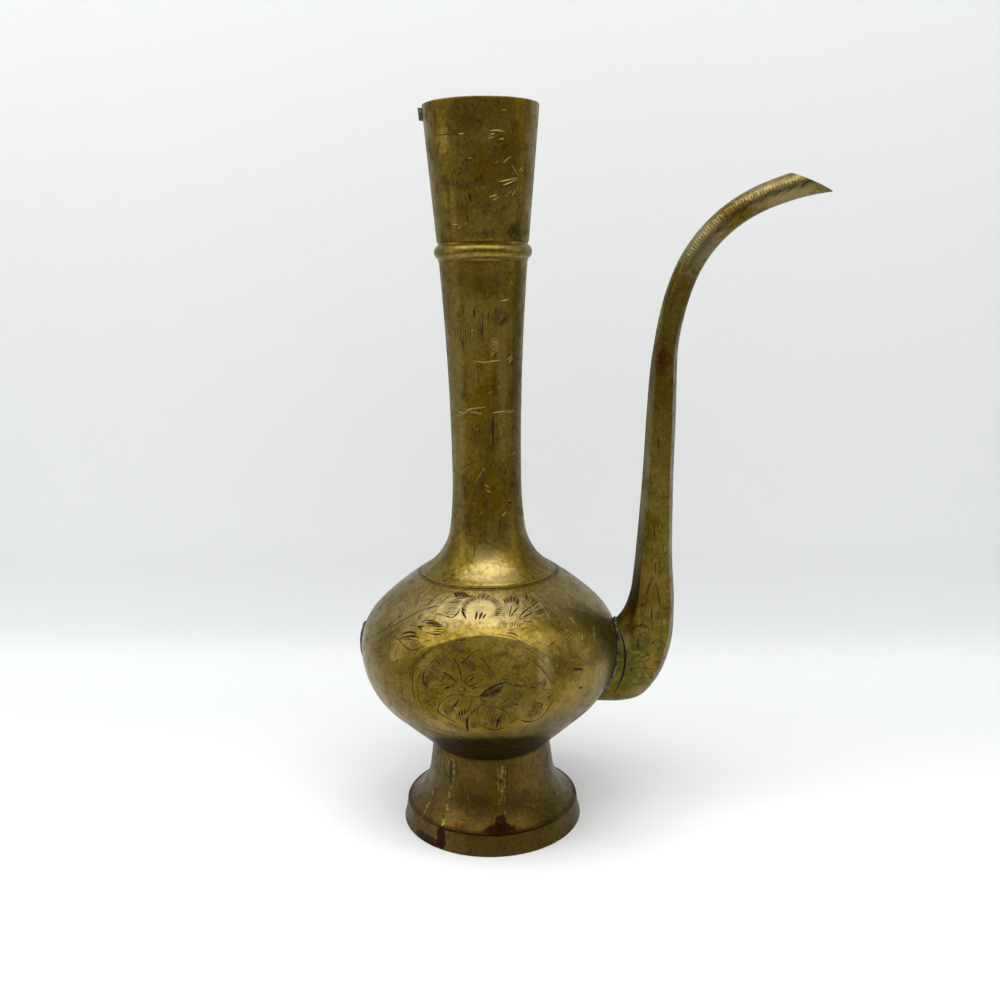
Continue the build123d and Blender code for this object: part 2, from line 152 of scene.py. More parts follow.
def only(piece: Piece) -> None:
    """Select one object and make it active."""
    clear_selection()
    bpy.context.view_layer.objects.active = piece
    piece.select_set(True)


@contextmanager
def editing(piece: Piece) -> Iterator[None]:
    """Open an object in edit mode with everything selected, and close it again."""
    only(piece)
    bpy.ops.object.mode_set(mode="EDIT")
    bpy.ops.mesh.select_mode(type="VERT")
    bpy.ops.mesh.select_all(action="SELECT")
    try:
        yield
    finally:
        bpy.ops.object.mode_set(mode="OBJECT")


@contextmanager
def editing_edges(piece: Piece, chosen: Callable[[Vector, Vector], bool]) -> Iterator[None]:
    """Open an object in edit mode with some edges selected, and close it again.

    Args:
        piece: The object.
        chosen: Tells from an edge's two ends, in metres, whether it is selected.
    """
    with editing(piece):
        bpy.ops.mesh.select_mode(type="EDGE")
        bpy.ops.mesh.select_all(action="DESELECT")
    for edge in piece.data.edges:
        edge.select = chosen(*(piece.data.vertices[i].co for i in edge.vertices))
    bpy.ops.object.mode_set(mode="EDIT")
    try:
        yield
    finally:
        bpy.ops.object.mode_set(mode="OBJECT")


def started(name: str) -> Piece:
    """Name the primitive that was just added and return it."""
    piece = bpy.context.object
    piece.name = name
    piece.data.name = name
    return piece


def cleaned(piece: Piece, merge: float = 1e-7) -> Piece:
    """Merge doubles and turn all faces outwards.

    Args:
        piece: A closed mesh.
        merge: Distance in metres under which two points become one.

    Returns:
        The same piece.
    """
    with editing(piece):
        bpy.ops.mesh.remove_doubles(threshold=merge)
        bpy.ops.mesh.normals_make_consistent(inside=False)
    return piece


def lathe(name: str, outline: Sequence[Point], steps: int, closed: bool = True) -> Piece:
    """Turn an outline of radius and height about the axis.

    Args:
        name: Name of the new object.
        outline: Points in mm, in order.
        steps: Number of steps round the axis.
        closed: Whether the outline's end joins its start; an open one starts and ends on the axis.

    Returns:
        A closed mesh.
    """
    points = [Vector((p[0], 0, p[1])) * MM for p in outline]
    if closed:
        points.append(points[0])
    clear_selection()
    bpy.ops.mesh.primitive_plane_add(size=MM)
    piece = started(name)
    with editing(piece):
        bpy.ops.mesh.merge(type="CENTER")
        bpy.ops.transform.translate(value=points[0])
        for last, point in zip(points, points[1:]):
            bpy.ops.mesh.extrude_vertices_move(TRANSFORM_OT_translate={"value": point - last})
        bpy.ops.mesh.select_all(action="SELECT")
        bpy.ops.mesh.remove_doubles(threshold=1e-7)
        bpy.ops.mesh.spin(steps=steps, angle=2 * math.pi, center=ORIGIN, axis=(0, 0, 1))
        bpy.ops.mesh.select_all(action="SELECT")
    return cleaned(piece)


def slab(name: str, point: Vector, normal: Vector, size: float = 400.0) -> Piece:
    """Make a block that fills everything beyond a plane.

    Args:
        name: Name of the new object.
        point: Point on the plane in mm.
        normal: Direction from the plane into the block.
        size: Edge of the block in mm.

    Returns:
        The block, used as a cutter.
    """
    clear_selection()
    bpy.ops.mesh.primitive_cube_add(size=size * MM)
    block = started(name)
    turn = Vector((0, 0, 1)).rotation_difference(normal).to_matrix().to_4x4()
    centre = Vector(point) * MM + Vector(normal).normalized() * (size / 2 * MM)
    block.data.transform(Matrix.Translation(centre) @ turn)
    return block


class Cut(Enum):
    """What a cutter does to a piece."""

    REMOVE = "DIFFERENCE"
    ADD = "UNION"


def carve(piece: Piece, cutter: Piece, cut: Cut = Cut.REMOVE, keep: bool = False) -> None:
    """Apply a cutter to a piece.

    Args:
        piece: The closed mesh that is cut.
        cutter: The closed mesh that cuts.
        cut: What the cutter does.
        keep: Whether the cutter is used again.
    """
    only(piece)
    tool = piece.modifiers.new("cut", "BOOLEAN")
    tool.operation = cut.value
    tool.solver = "MANIFOLD"
    tool.object = cutter
    finishes = len(piece.data.materials)
    bpy.ops.object.modifier_apply(modifier=tool.name)
    while len(piece.data.materials) > finishes:
        piece.data.materials.pop()
    if not keep:
        discard(cutter)


def discard(piece: Piece) -> None:
    """Remove an object and its mesh."""
    mesh = piece.data
    bpy.data.objects.remove(piece)
    bpy.data.meshes.remove(mesh)


def copy_of(piece: Piece, name: str) -> Piece:
    """Copy an object with a mesh of its own."""
    twin = piece.copy()
    twin.data = piece.data.copy()
    twin.name = name
    twin.data.name = name
    bpy.context.scene.collection.objects.link(twin)
    return twin


def finished(piece: Piece, *metals: Metal) -> Piece:
    """Give a piece its metal and, after it, the looks of what is cut into it."""
    for metal in metals:
        piece.data.materials.append(metal)
    return piece


def smooth(piece: Piece) -> None:
    """Shade a piece smooth up to the angle that counts as an edge."""
    only(piece)
    bpy.ops.object.shade_smooth_by_angle(angle=SMOOTH_ANGLE)


def place(piece: Piece, slot: str, node: str) -> None:
    """Put a finished piece on the ewer.

    Args:
        piece: The finished piece.
        slot: Name of a material slot of the record; it is only written to the log.
        node: Solid that it stands for.
    """
    smooth(piece)
    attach(piece, BODY)
    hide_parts(node)
    log.info("%s: %d faces, slot %s, stands for %s", piece.name, len(piece.data.polygons), slot, node)


# ---------------------------------------------------------------- forms
@dataclass
class VesselForm:
    """Curves of the body and the neck in their section plane, in mm."""

    foot_height: float = 37.4
    seat_r: float = 25.8
    spigot_r: float = 23.95
    spigot_z: float = 33.0
    body_r: float = 56.1
    seam_z: float = 82.0
    bowl_arc_r: float = 36.6
    shoulder_arc_r: float = 24.5
    shoulder_turn: float = 45.0
    neck_edge: tuple[float, float] = (28.4, 115.7)
    flare_top: tuple[float, float] = (16.0, 134.5)
    waist: tuple[float, float] = (14.6, 157.0)
    neck_top: tuple[float, float] = (18.4, 248.6)
    rim: tuple[float, float] = (23.35, 305.0)
    wall: float = 1.2
    step: float = 1.3

    def __post_init__(self) -> None:
        """Work out the centres and angles of the arcs."""
        self.seat = Vector((self.seat_r, self.foot_height))
        self.bowl_centre = Vector((self.body_r - self.bowl_arc_r, self.seam_z))
        reach = self.seat - self.bowl_centre
        self.bowl_start = angle_of(reach) + math.degrees(math.acos(self.bowl_arc_r / reach.length)) - 360
        self.shoulder_centre = Vector((self.body_r - self.shoulder_arc_r, self.seam_z))
        crown_start = self.shoulder_centre + towards(self.shoulder_turn) * self.shoulder_arc_r
        edge = Vector(self.neck_edge)
        self.crown_r = tangent_radius(crown_start, towards(self.shoulder_turn + 180), edge)
        self.crown_centre = crown_start - towards(self.shoulder_turn) * self.crown_r
        self.crown_end = angle_of(edge - self.crown_centre)
        waist, flare_top = Vector(self.waist), Vector(self.flare_top)
        self.low_waist_r = tangent_radius(waist, Vector((1, 0)), flare_top)
        self.low_waist_centre = waist + Vector((self.low_waist_r, 0))
        self.low_waist_end = angle_of(flare_top - self.low_waist_centre)
        self.flare_r = tangent_radius(flare_top, towards(self.low_waist_end - 180), edge)
        self.flare_centre = flare_top + towards(self.low_waist_end - 180) * self.flare_r
        self.flare_end = angle_of(edge - self.flare_centre)
        self.high_waist_r = tangent_radius(waist, Vector((1, 0)), Vector(self.neck_top))
        self.high_waist_centre = waist + Vector((self.high_waist_r, 0))

    def body_skin(self, depth: float, step: float) -> list[Vector]:
        """Return the body's curve from the seat on the foot to the neck's edge, a depth inside."""
        bowl_foot = self.bowl_centre + towards(self.bowl_start) * (self.bowl_arc_r - depth)
        points = line(self.seat - towards(self.bowl_start) * depth, bowl_foot, step)
        points += arc(self.bowl_centre, self.bowl_arc_r - depth, self.bowl_start, 0, step)[1:]
        points += arc(self.shoulder_centre, self.shoulder_arc_r - depth, 0, self.shoulder_turn, step)[1:]
        crown = arc(self.crown_centre, self.crown_r - depth, self.shoulder_turn, self.crown_end, step)
        return points + crown[1:]

    def neck_angle(self, height: float, depth: float) -> float:
        """Return the angle on the neck's upper curve at a height, a depth inside."""
        rise = height - self.high_waist_centre[1]
        return 180 - math.degrees(math.asin(rise / (self.high_waist_r + depth)))

    def neck_radius(self, height: float, depth: float) -> float:
        """Return the radius of the neck's upper curve at a height, a depth inside."""
        spoke = towards(self.neck_angle(height, depth)) * (self.high_waist_r + depth)
        return (self.high_waist_centre + spoke)[0]

    def neck_skin(self, depth: float, top: float, step: float) -> list[Vector]:
        """Return the neck's curve from its flared edge to a height, a depth inside."""
        points = arc(self.flare_centre, self.flare_r + depth, self.flare_end, self.low_waist_end, step)
        low = arc(self.low_waist_centre, self.low_waist_r + depth, self.low_waist_end, 180, step)
        end = self.neck_angle(top, depth)
        high = arc(self.high_waist_centre, self.high_waist_r + depth, 180, end, step)
        return points + low[1:] + high[1:]


@dataclass
class PanelForm:
    """Flattened panels on the front and back of the body, in mm and degrees."""

    distance: float = 48.7
    centre_z: float = 78.0
    tilt: float = 4.0
    soft_radius: float = 9.0
    soft_from: int = 132
    soft_to: int = 244
    soft_step: int = 8

    def frame(self, side: int) -> tuple[Vector, Vector, Vector]:
        """Return the middle, outward normal and upward direction of the panel on a side, -1 for the front."""
        tilt = math.radians(self.tilt)
        normal = Vector((0, side * math.cos(tilt), math.sin(tilt)))
        up = Vector((0, -side * math.sin(tilt), math.cos(tilt)))
        return Vector((0, side * self.distance, self.centre_z)), normal, up


@dataclass
class SpoutForm:
    """Sections of the swan-neck spout: points are radius and height from the seam's outermost point, mm."""

    wall: float = 1.3
    shaft_foot: tuple[float, float] = (15.2, 38.0)
    shaft_heading: float = 88.1
    shaft_length: float = 79.0
    shaft_steps: int = 4
    bends: tuple = ((123.0, 16.5), (56.6, 48.3), (99.4, 18.0))
    step: float = 12.0
    bevel: float = 2.2
    swell: float = 0.03
    taper: tuple = (
        (0.0, 15.9, 7.6, 0.25), (20.0, 14.1, 7.1, 0.10), (40.0, 12.8, 6.6, 0.05), (70.0, 12.1, 6.1, 0.10),
        (90.0, 10.1, 5.5, 0.45), (110.0, 10.0, 5.1, 1.0), (150.0, 10.2, 5.1, 1.0), (205.0, 10.9, 5.5, 1.0),
    )
    elbow: tuple = (
        ((-10.1, 4.0), (-19.1, -27.8), 9.6, 0.9), ((-5.1, 7.6), (-9.1, -28.1), 9.7, 0.9),
        ((-0.6, 10.3), (0.9, -28.2), 9.8, 0.9), ((2.1, 13.8), (9.9, -25.9), 9.8, 0.9),
        ((3.5, 16.6), (16.4, -19.1), 9.6, 0.85), ((4.6, 19.8), (20.9, -10.3), 9.2, 0.75),
        ((5.7, 24.0), (23.9, 2.4), 8.7, 0.6), ((6.4, 29.5), (24.3, 20.0), 8.1, 0.4),
    )
    cut_tilt: float = 23.6
    lip_trim: float = 2.95
    reach: float = 139.2
    between: int = 5
    edge_points: int = 6
    face_points: int = 12
    corner_angles: tuple = (130, 50)            # degrees on the oval, inner edge at 180
    middle_angles: tuple = (155, 90, 25)

    def __post_init__(self) -> None:
        """Work out the length of the bends."""
        self.bend_length = sum(math.radians(angle) * radius for radius, angle in self.bends)

    def centre(self, seam: Vector, distance: float) -> tuple[Vector, float]:
        """Return the point and heading of the centreline at a distance along shaft and bends."""
        heading = self.shaft_heading
        run = min(distance, self.shaft_length)
        point = seam + Vector(self.shaft_foot) + towards(heading) * run
        left = distance - run
        for radius, angle in self.bends:
            turned = min(math.degrees(left / radius), angle)
            pivot = point + towards(heading - 90) * radius
            heading -= turned
            point = pivot + towards(heading + 90) * radius
            left -= math.radians(turned) * radius
        return point, heading

    def at_taper(self, distance: float) -> tuple[float, ...]:
        """Return width, half depth and roundness at a distance along shaft and bends."""
        for (start, *low), (end, *high) in zip(self.taper, self.taper[1:]):
            if distance <= end:
                share = (distance - start) / (end - start)
                return tuple(a + (b - a) * share for a, b in zip(low, high))
        return self.taper[-1][1:]

    def stations(self, seam: Vector) -> list[tuple[float, ...]]:
        """Return each main section as one row: inner point, outer point, half depth, roundness."""
        rows = []
        for inner, outer, depth, roundness in self.elbow:
            rows.append((*(seam + Vector(inner)), *(seam + Vector(outer)), depth, roundness))
        bend_steps = round(self.bend_length / self.step)
        distances = [self.shaft_length * i / self.shaft_steps for i in range(self.shaft_steps)]
        distances += [self.shaft_length + self.bend_length * i / bend_steps for i in range(bend_steps + 1)]
        for distance in distances:
            point, heading = self.centre(seam, distance)
            width, depth, roundness = self.at_taper(distance)
            across = towards(heading + 90) * (width / 2)
            rows.append((*(point + across), *(point - across), depth, roundness))
        return rows

    def sections(self, seam: Vector) -> list[tuple[float, ...]]:
        """Return the main sections with smooth ones between them."""
        rows = self.stations(seam)
        rows = [rows[0]] + rows + [rows[-1]]
        result = []
        for a, b, c, d in zip(rows, rows[1:], rows[2:], rows[3:]):
            for i in range(self.between):
                t = i / self.between
                result.append(tuple(
                    0.5 * (2 * q + (r - p) * t + (2 * p - 5 * q + 4 * r - s) * t * t
                           + (3 * q - p - 3 * r + s) * t ** 3)
                    for p, q, r, s in zip(a, b, c, d)
                ))
        return result + [rows[-1]]

    def half(self, width: float, depth: float, roundness: float) -> list[Vector]:
        """Return the points of one half section, from its inner to its outer edge."""
        roundness = min(1.0, max(0.0, roundness))

        def oval(angle: float) -> Vector:
            return Vector((math.cos(math.radians(angle)) * width / 2, math.sin(math.radians(angle)) * depth))

        rise = Vector((0, self.swell * depth))
        low_flat = Vector((self.bevel - width / 2, depth - rise[1]))
        high_flat = Vector((width / 2 - self.bevel, depth - rise[1]))
        inner, outer = self.corner_angles
        corners = [
            Vector((-width / 2, 0)),
            low_flat.lerp(oval(inner), roundness),
            high_flat.lerp(oval(outer), roundness),
            Vector((width / 2, 0)),
        ]
        points = []
        for start, end, angle, count in zip(
            corners, corners[1:], self.middle_angles, (self.edge_points, self.face_points, self.edge_points)
        ):
            middle = ((start + end) / 2 + rise).lerp(oval(angle), roundness)
            pull = middle * 2 - (start + end) / 2
            for i in range(count):
                t = i / count
                points.append(start * (1 - t) ** 2 + pull * (2 * t * (1 - t)) + end * t * t)
        return points + [corners[-1]]

    def ring(self, section: tuple[float, ...], wall: float) -> list[Vector]:
        """Return one closed ring of points in mm, a wall inside the skin."""
        inner, outer = Vector(section[0:2]), Vector(section[2:4])
        middle = (inner + outer) / 2
        across = (outer - inner).normalized()
        width = (outer - inner).length - 2 * wall
        half = self.half(width, section[4] - wall, section[5])
        whole = half + [Vector((p[0], -p[1])) for p in reversed(half[1:-1])]
        return [Vector((*(middle + across * p[0]), -p[1])).xzy for p in whole]


# ---------------------------------------------------------------- camera
@dataclass
class Camera:
    """Camera of the picture, fitted to the ewer's ellipses and outlines; mm and degrees."""

    place: tuple[float, float, float] = (22.65, -432.2, 241.3)
    heading: float = -2.28
    dip: float = 12.52
    roll: float = -0.84
    focal: float = 1035.2
    sensor: float = 36.0
    nearest: float = 0.01       # metres

    def axes(self) -> tuple[Vector, Vector, Vector]:
        """Return the directions right, up and ahead."""
        heading, dip, roll = (math.radians(v) for v in (self.heading, self.dip, self.roll))
        ahead = Vector((math.sin(heading) * math.cos(dip), math.cos(heading) * math.cos(dip), -math.sin(dip)))
        right = Vector((math.cos(heading), -math.sin(heading), 0))
        up = right.cross(ahead)
        tilted_right = right * math.cos(roll) + up * math.sin(roll)
        tilted_up = up * math.cos(roll) - right * math.sin(roll)
        return tilted_right, tilted_up, ahead

    def build(self) -> None:
        """Add the camera to the scene."""
        data = bpy.data.cameras.new("picture_camera")
        data.sensor_width = self.sensor
        data.lens = self.focal / PICTURE * self.sensor
        data.clip_start = self.nearest
        camera = bpy.data.objects.new("picture_camera", data)
        right, up, ahead = self.axes()
        turn = Matrix((right, up, -ahead)).transposed().to_4x4()
        camera.matrix_world = Matrix.Translation(Vector(self.place) * MM) @ turn
        bpy.context.scene.collection.objects.link(camera)
        bpy.context.scene.camera = camera

    def ray(self, x: float, y: float, turn: float = 0.0) -> tuple[Vector, Vector]:
        """Return the start in metres and the direction of the sight line through a place in the picture.

        Args:
            x: Thousandths of the picture from its left edge.
            y: Thousandths of the picture from its top edge.
            turn: Degrees that the line is turned about the ewer's axis.

        Returns:
            Start and unit direction.
        """
        right, up, ahead = self.axes()
        half = PICTURE / 2
        way = (ahead * self.focal + right * (x - half) - up * (y - half)).normalized()
        spin = Matrix.Rotation(math.radians(turn), 3, "Z")
        return spin @ (Vector(self.place) * MM), spin @ way


# ---------------------------------------------------------------- engraving
class Look(Enum):
    """Finish of a cut, as the place of its material on the piece."""

    PLAIN = 0
    DIRT = 1
    BRIGHT = 2
    FLUX = 3
    SCALE = 4


@dataclass
class Stroke:
    """One cut of the graver, or one raised run, drawn as it is seen in the picture."""

    path: list[Vector]
    width: float
    depth: float
    look: Look
    raised: bool = False


def curve(points: Sequence[Point], step: float = 2.0) -> list[Vector]:
    """Return an even, smooth curve through points.

    Args:
        points: Two or more points.
        step: Distance between two points of the curve.

    Returns:
        At least four points, both ends among them.
    """
    knots = [Vector(p) for p in points]
    knots = [knots[0] * 2 - knots[1]] + knots + [knots[-1] * 2 - knots[-2]]
    fine = []
    for a, b, c, d in zip(knots, knots[1:], knots[2:], knots[3:]):
        for i in range(SPAN_STEPS):
            t = i / SPAN_STEPS
            fine.append((b * 2 + (c - a) * t + (a * 2 - b * 5 + c * 4 - d) * t * t
                         + (b * 3 - a - c * 3 + d) * t ** 3) * 0.5)
    fine.append(knots[-2])
    count = max(FEWEST_STEPS, min(MOST_STEPS, round(length_of(fine) / step)))
    return [along(fine, i / count) for i in range(count + 1)]


def length_of(path: Sequence[Vector]) -> float:
    """Return the length of a path."""
    return sum((b - a).length for a, b in zip(path, path[1:]))


def along(path: Sequence[Vector], share: float) -> Vector:
    """Return the point at a share of a path's length."""
    left = length_of(path) * share
    for a, b in zip(path, path[1:]):
        run = (b - a).length
        if left <= run:
            return a.lerp(b, left / run if run else 0)
        left -= run
    return path[-1].copy()


def pairs(row: Sequence[float]) -> list[tuple[float, float]]:
    """Return the points of a row that gives x and y of each in turn."""
    return list(zip(row[::2], row[1::2]))


@dataclass
class Drawing:
    """Traditional leaf and flower engraving, drawn as seen in the picture: x right, y down."""

    seed: int
    broad: float = 0.72         # mm from which a dark stroke holds black scale
    sway: Range = (-0.16, 0.16)         # share of a hatch's spacing that a stroke is off by
    foot_slip: Range = (-0.08, 0.1)     # share of a hatched stroke that it starts late by
    tip_slip: Range = (-0.08, 0.12)
    breadths: Range = (0.85, 1.2)
    lengths: Range = (0.4, 1.4)
    bends: Range = (-0.12, 0.12)
    stray_widths: Range = (0.24, 0.36)
    stray_depth: float = 0.09
    strokes: list[Stroke] = field(default_factory=list)

    def __post_init__(self) -> None:
        """Start the hand's small unevenness."""
        self.hand = random.Random(self.seed)

    def cut(self, points: Sequence[Point], width: float = 0.45, depth: float = 0.2,
            look: Look = Look.DIRT, raised: bool = False) -> None:
        """Add one stroke through points; width and depth in mm; a broad one holds black scale."""
        if look is Look.DIRT and width > self.broad:
            look = Look.SCALE
        self.strokes.append(Stroke(curve(points), width, depth, look, raised))

    def cuts(self, rows: Sequence[Sequence[float]], depth: float = 0.2, deep: float | None = None,
             broader: float = 0.0, look: Look = Look.DIRT) -> None:
        """Add strokes in order.

        Args:
            rows: Width, then x and y of each point, of one stroke after another.
            depth: Depth of a stroke in mm.
            deep: Depth of the broad ones, where it differs.
            broader: Width above which a stroke is a broad one.
            look: Finish of the strokes.
        """
        for width, *row in rows:
            self.cut(pairs(row), width, deep if deep and width > broader else depth, look)

    def hatches(self, rows: Sequence[Sequence[float]], width: float, depth: float) -> None:
        """Add hatched patches: each row is a count, then half its points for feet and half for tips."""
        for count, *row in rows:
            half = len(row) // 2
            self.hatch(row[:half], row[half:], count, width, depth)

    def hatch(self, feet: Sequence[float], tips: Sequence[float], count: int, width: float = 0.38,
              depth: float = 0.16, look: Look = Look.DIRT) -> None:
        """Add strokes side by side that run from one curve to another.

        Args:
            feet: Row of x and y of the curve that the strokes start on.
            tips: Row of x and y of the curve that they end on.
            count: Number of strokes.
            width: Width of a stroke in mm.
            depth: Depth of a stroke in mm.
            look: Finish of the strokes.
        """
        low, high = curve(pairs(feet)), curve(pairs(tips))
        for i in range(count):
            share = (i + 0.5) / count + self.hand.uniform(*self.sway) / count
            foot, tip = along(low, share), along(high, share)
            foot = foot.lerp(tip, self.hand.uniform(*self.foot_slip))
            tip = tip.lerp(foot, self.hand.uniform(*self.tip_slip))
            breadth = width * self.hand.uniform(*self.breadths)
            self.strokes.append(Stroke(curve((foot, tip)), breadth, depth, look))

    def scatter(self, low: Point, high: Point, count: int, reach: float, look: Look = Look.BRIGHT,
                lean: float = 0.0, spread: float = 180.0) -> None:
        """Add light stray cuts within a rectangle.

        Args:
            low: Upper left corner.
            high: Lower right corner.
            count: Number of cuts.
            reach: Usual length.
            look: Finish of the cuts.
            lean: Usual direction in degrees from right, upwards.
            spread: Most that a cut turns from it.
        """
        for _ in range(count):
            start = Vector((self.hand.uniform(low[0], high[0]), self.hand.uniform(low[1], high[1])))
            angle = math.radians(lean + self.hand.uniform(-spread, spread) / 2)
            way = Vector((math.cos(angle), -math.sin(angle))) * reach * self.hand.uniform(*self.lengths)
            bend = Vector((way[1], -way[0])) * self.hand.uniform(*self.bends)
            path = (start, start + way / 2 + bend, start + way)
            self.cut(path, self.hand.uniform(*self.stray_widths), self.stray_depth, look)


@dataclass
class Graver:
    """Cuts a drawing into pieces as V grooves with tapered ends, or lays it on them as low ridges."""

    camera: Camera
    lift: float = 0.12          # mm that a cutter stands above the skin
    sink: float = 0.08          # mm that a ridge reaches into it
    clear: float = 0.75         # mm between strokes that are cut together
    room: float = 0.3           # mm beside a broad stroke
    grazing: float = 0.12       # cosine under which a sight line only grazes the skin
    shortest: float = 1e-5      # metres between two points of a stroke
    longest: float = 0.006
    blunt: float = 0.45         # power of a stroke's taper; a lower one has blunter ends
    thinnest: float = 0.05      # share of the taper that is left at its ends

    def on_surface(self, drawing: Drawing, tree: BVHTree, turn: float) -> list[tuple[Stroke, list]]:
        """Lay each stroke on the surface that the sight lines meet.

        Args:
            drawing: The strokes.
            tree: Search tree of the surface in metres.
            turn: Degrees that the drawing is turned about the axis.

        Returns:
            Pairs of a stroke and its points with normals; strokes that miss are left out.
        """
        laid = []
        for stroke in drawing.strokes:
            spots = []
            for point in stroke.path:
                start, way = self.camera.ray(point[0], point[1], turn)
                spot, normal, _, _ = tree.ray_cast(start, way)
                if spot is None or normal.dot(way) > -self.grazing:
                    spots = []
                    break
                spots.append((spot, normal))
            jumps = [(b[0] - a[0]).length for a, b in zip(spots, spots[1:])]
            if len(spots) > 2 and self.shortest < min(jumps) and max(jumps) < self.longest:
                laid.append((stroke, spots))
        return laid

    def groups(self, laid: list[tuple[Stroke, list]]) -> list[list[int]]:
        """Sort strokes into groups in which none touches another."""
        tree = KDTree(sum(len(spots) for _, spots in laid))
        owner = []
        for index, (_, spots) in enumerate(laid):
            for spot, _ in spots:
                tree.insert(spot, len(owner))
                owner.append(index)
        tree.balance()
        group_of: dict[int, int] = {}
        for index, (stroke, spots) in enumerate(laid):
            near = set()
            reach = max(self.clear, stroke.width + self.room) * MM
            for spot, _ in spots:
                near |= {owner[i] for _, i, _ in tree.find_range(spot, reach)}
            taken = {group_of[i] for i in near if i in group_of}
            group_of[index] = next(g for g in range(len(laid) + 1) if g not in taken)
        count = max(group_of.values(), default=-1) + 1
        return [[i for i, g in group_of.items() if g == number] for number in range(count)]

    def profile(self, stroke: Stroke, spots: list, place: int) -> list[Vector]:
        """Return the three corners of a stroke's wedge at one of its points."""
        last = len(spots) - 1
        spot, normal = spots[place]
        way = (spots[min(place + 1, last)][0] - spots[max(place - 1, 0)][0]).normalized()
        side = normal.cross(way).normalized()
        ease = max(self.thinnest, math.sin(math.pi * place / last)) ** self.blunt
        depth = stroke.depth * ease * MM
        if stroke.raised:
            half = stroke.width / 2 * ease * MM
            low, high = -self.sink * MM, depth
        else:
            half = stroke.width / 2 * ease * MM * (depth + self.lift * MM) / depth
            low, high = self.lift * MM, -depth
        return [spot + side * half + normal * low, spot - side * half + normal * low, spot + normal * high]

    def cutter(self, name: str, laid: list[tuple[Stroke, list]], members: list[int],
               finishes: Sequence[Metal]) -> Piece:
        """Build one cutter from strokes that don't touch one another.

        Args:
            name: Name of the cutter.
            laid: All strokes with their points and normals.
            members: Places in the list of the strokes to use.
            finishes: Materials of the piece that is cut.

        Returns:
            One mesh of wedges, its faces stained like the grooves that they leave.
        """
        corners: list[Vector] = []
        faces: list[tuple[int, ...]] = []
        stains: list[int] = []
        for member in members:
            stroke, spots = laid[member]
            base = len(corners)
            last = len(spots) - 1
            for place in range(last + 1):
                corners += self.profile(stroke, spots, place)
            for i in range(last):
                a, b = base + 3 * i, base + 3 * i + 3
                faces += [(a + k, a + (k + 1) % 3, b + (k + 1) % 3, b + k) for k in range(3)]
            end = base + 3 * last
            faces += [(base + 2, base + 1, base), (end, end + 1, end + 2)]
            stains += [stroke.look.value] * (3 * last + 2)
        mesh = bpy.data.meshes.new(name)
        mesh.from_pydata([tuple(c) for c in corners], [], faces)
        mesh.update()
        tool = bpy.data.objects.new(name, mesh)
        bpy.context.scene.collection.objects.link(tool)
        for material in finishes:
            mesh.materials.append(material)
        mesh.polygons.foreach_set("material_index", stains)
        return cleaned(tool, 1e-9)

    def engrave(self, pieces: Sequence[Piece], drawing: Drawing, turns: Sequence[float],
                cut: Cut = Cut.REMOVE) -> None:
        """Cut a drawing into pieces that share one surface.

        Args:
            pieces: The pieces, with the materials of every look.
            drawing: What is engraved.
            turns: Turns about the axis at which the drawing is repeated.
            cut: Whether the strokes are cut in or laid on.
        """
        corners: list[Vector] = []
        faces: list[list[int]] = []
        for piece in pieces:
            base = len(corners)
            corners += [v.co.copy() for v in piece.data.vertices]
            faces += [[base + i for i in face.vertices] for face in piece.data.polygons]
        tree = BVHTree.FromPolygons(corners, faces)
        laid = [row for turn in turns for row in self.on_surface(drawing, tree, turn)]
        for number, members in enumerate(self.groups(laid)):
            tool = self.cutter(f"graver_{number}", laid, members, pieces[0].data.materials)
            for piece in pieces:
                carve(piece, tool, cut, keep=True)
            discard(tool)
        log.info("engraved %d cuts on %s", len(laid), ", ".join(p.name for p in pieces))


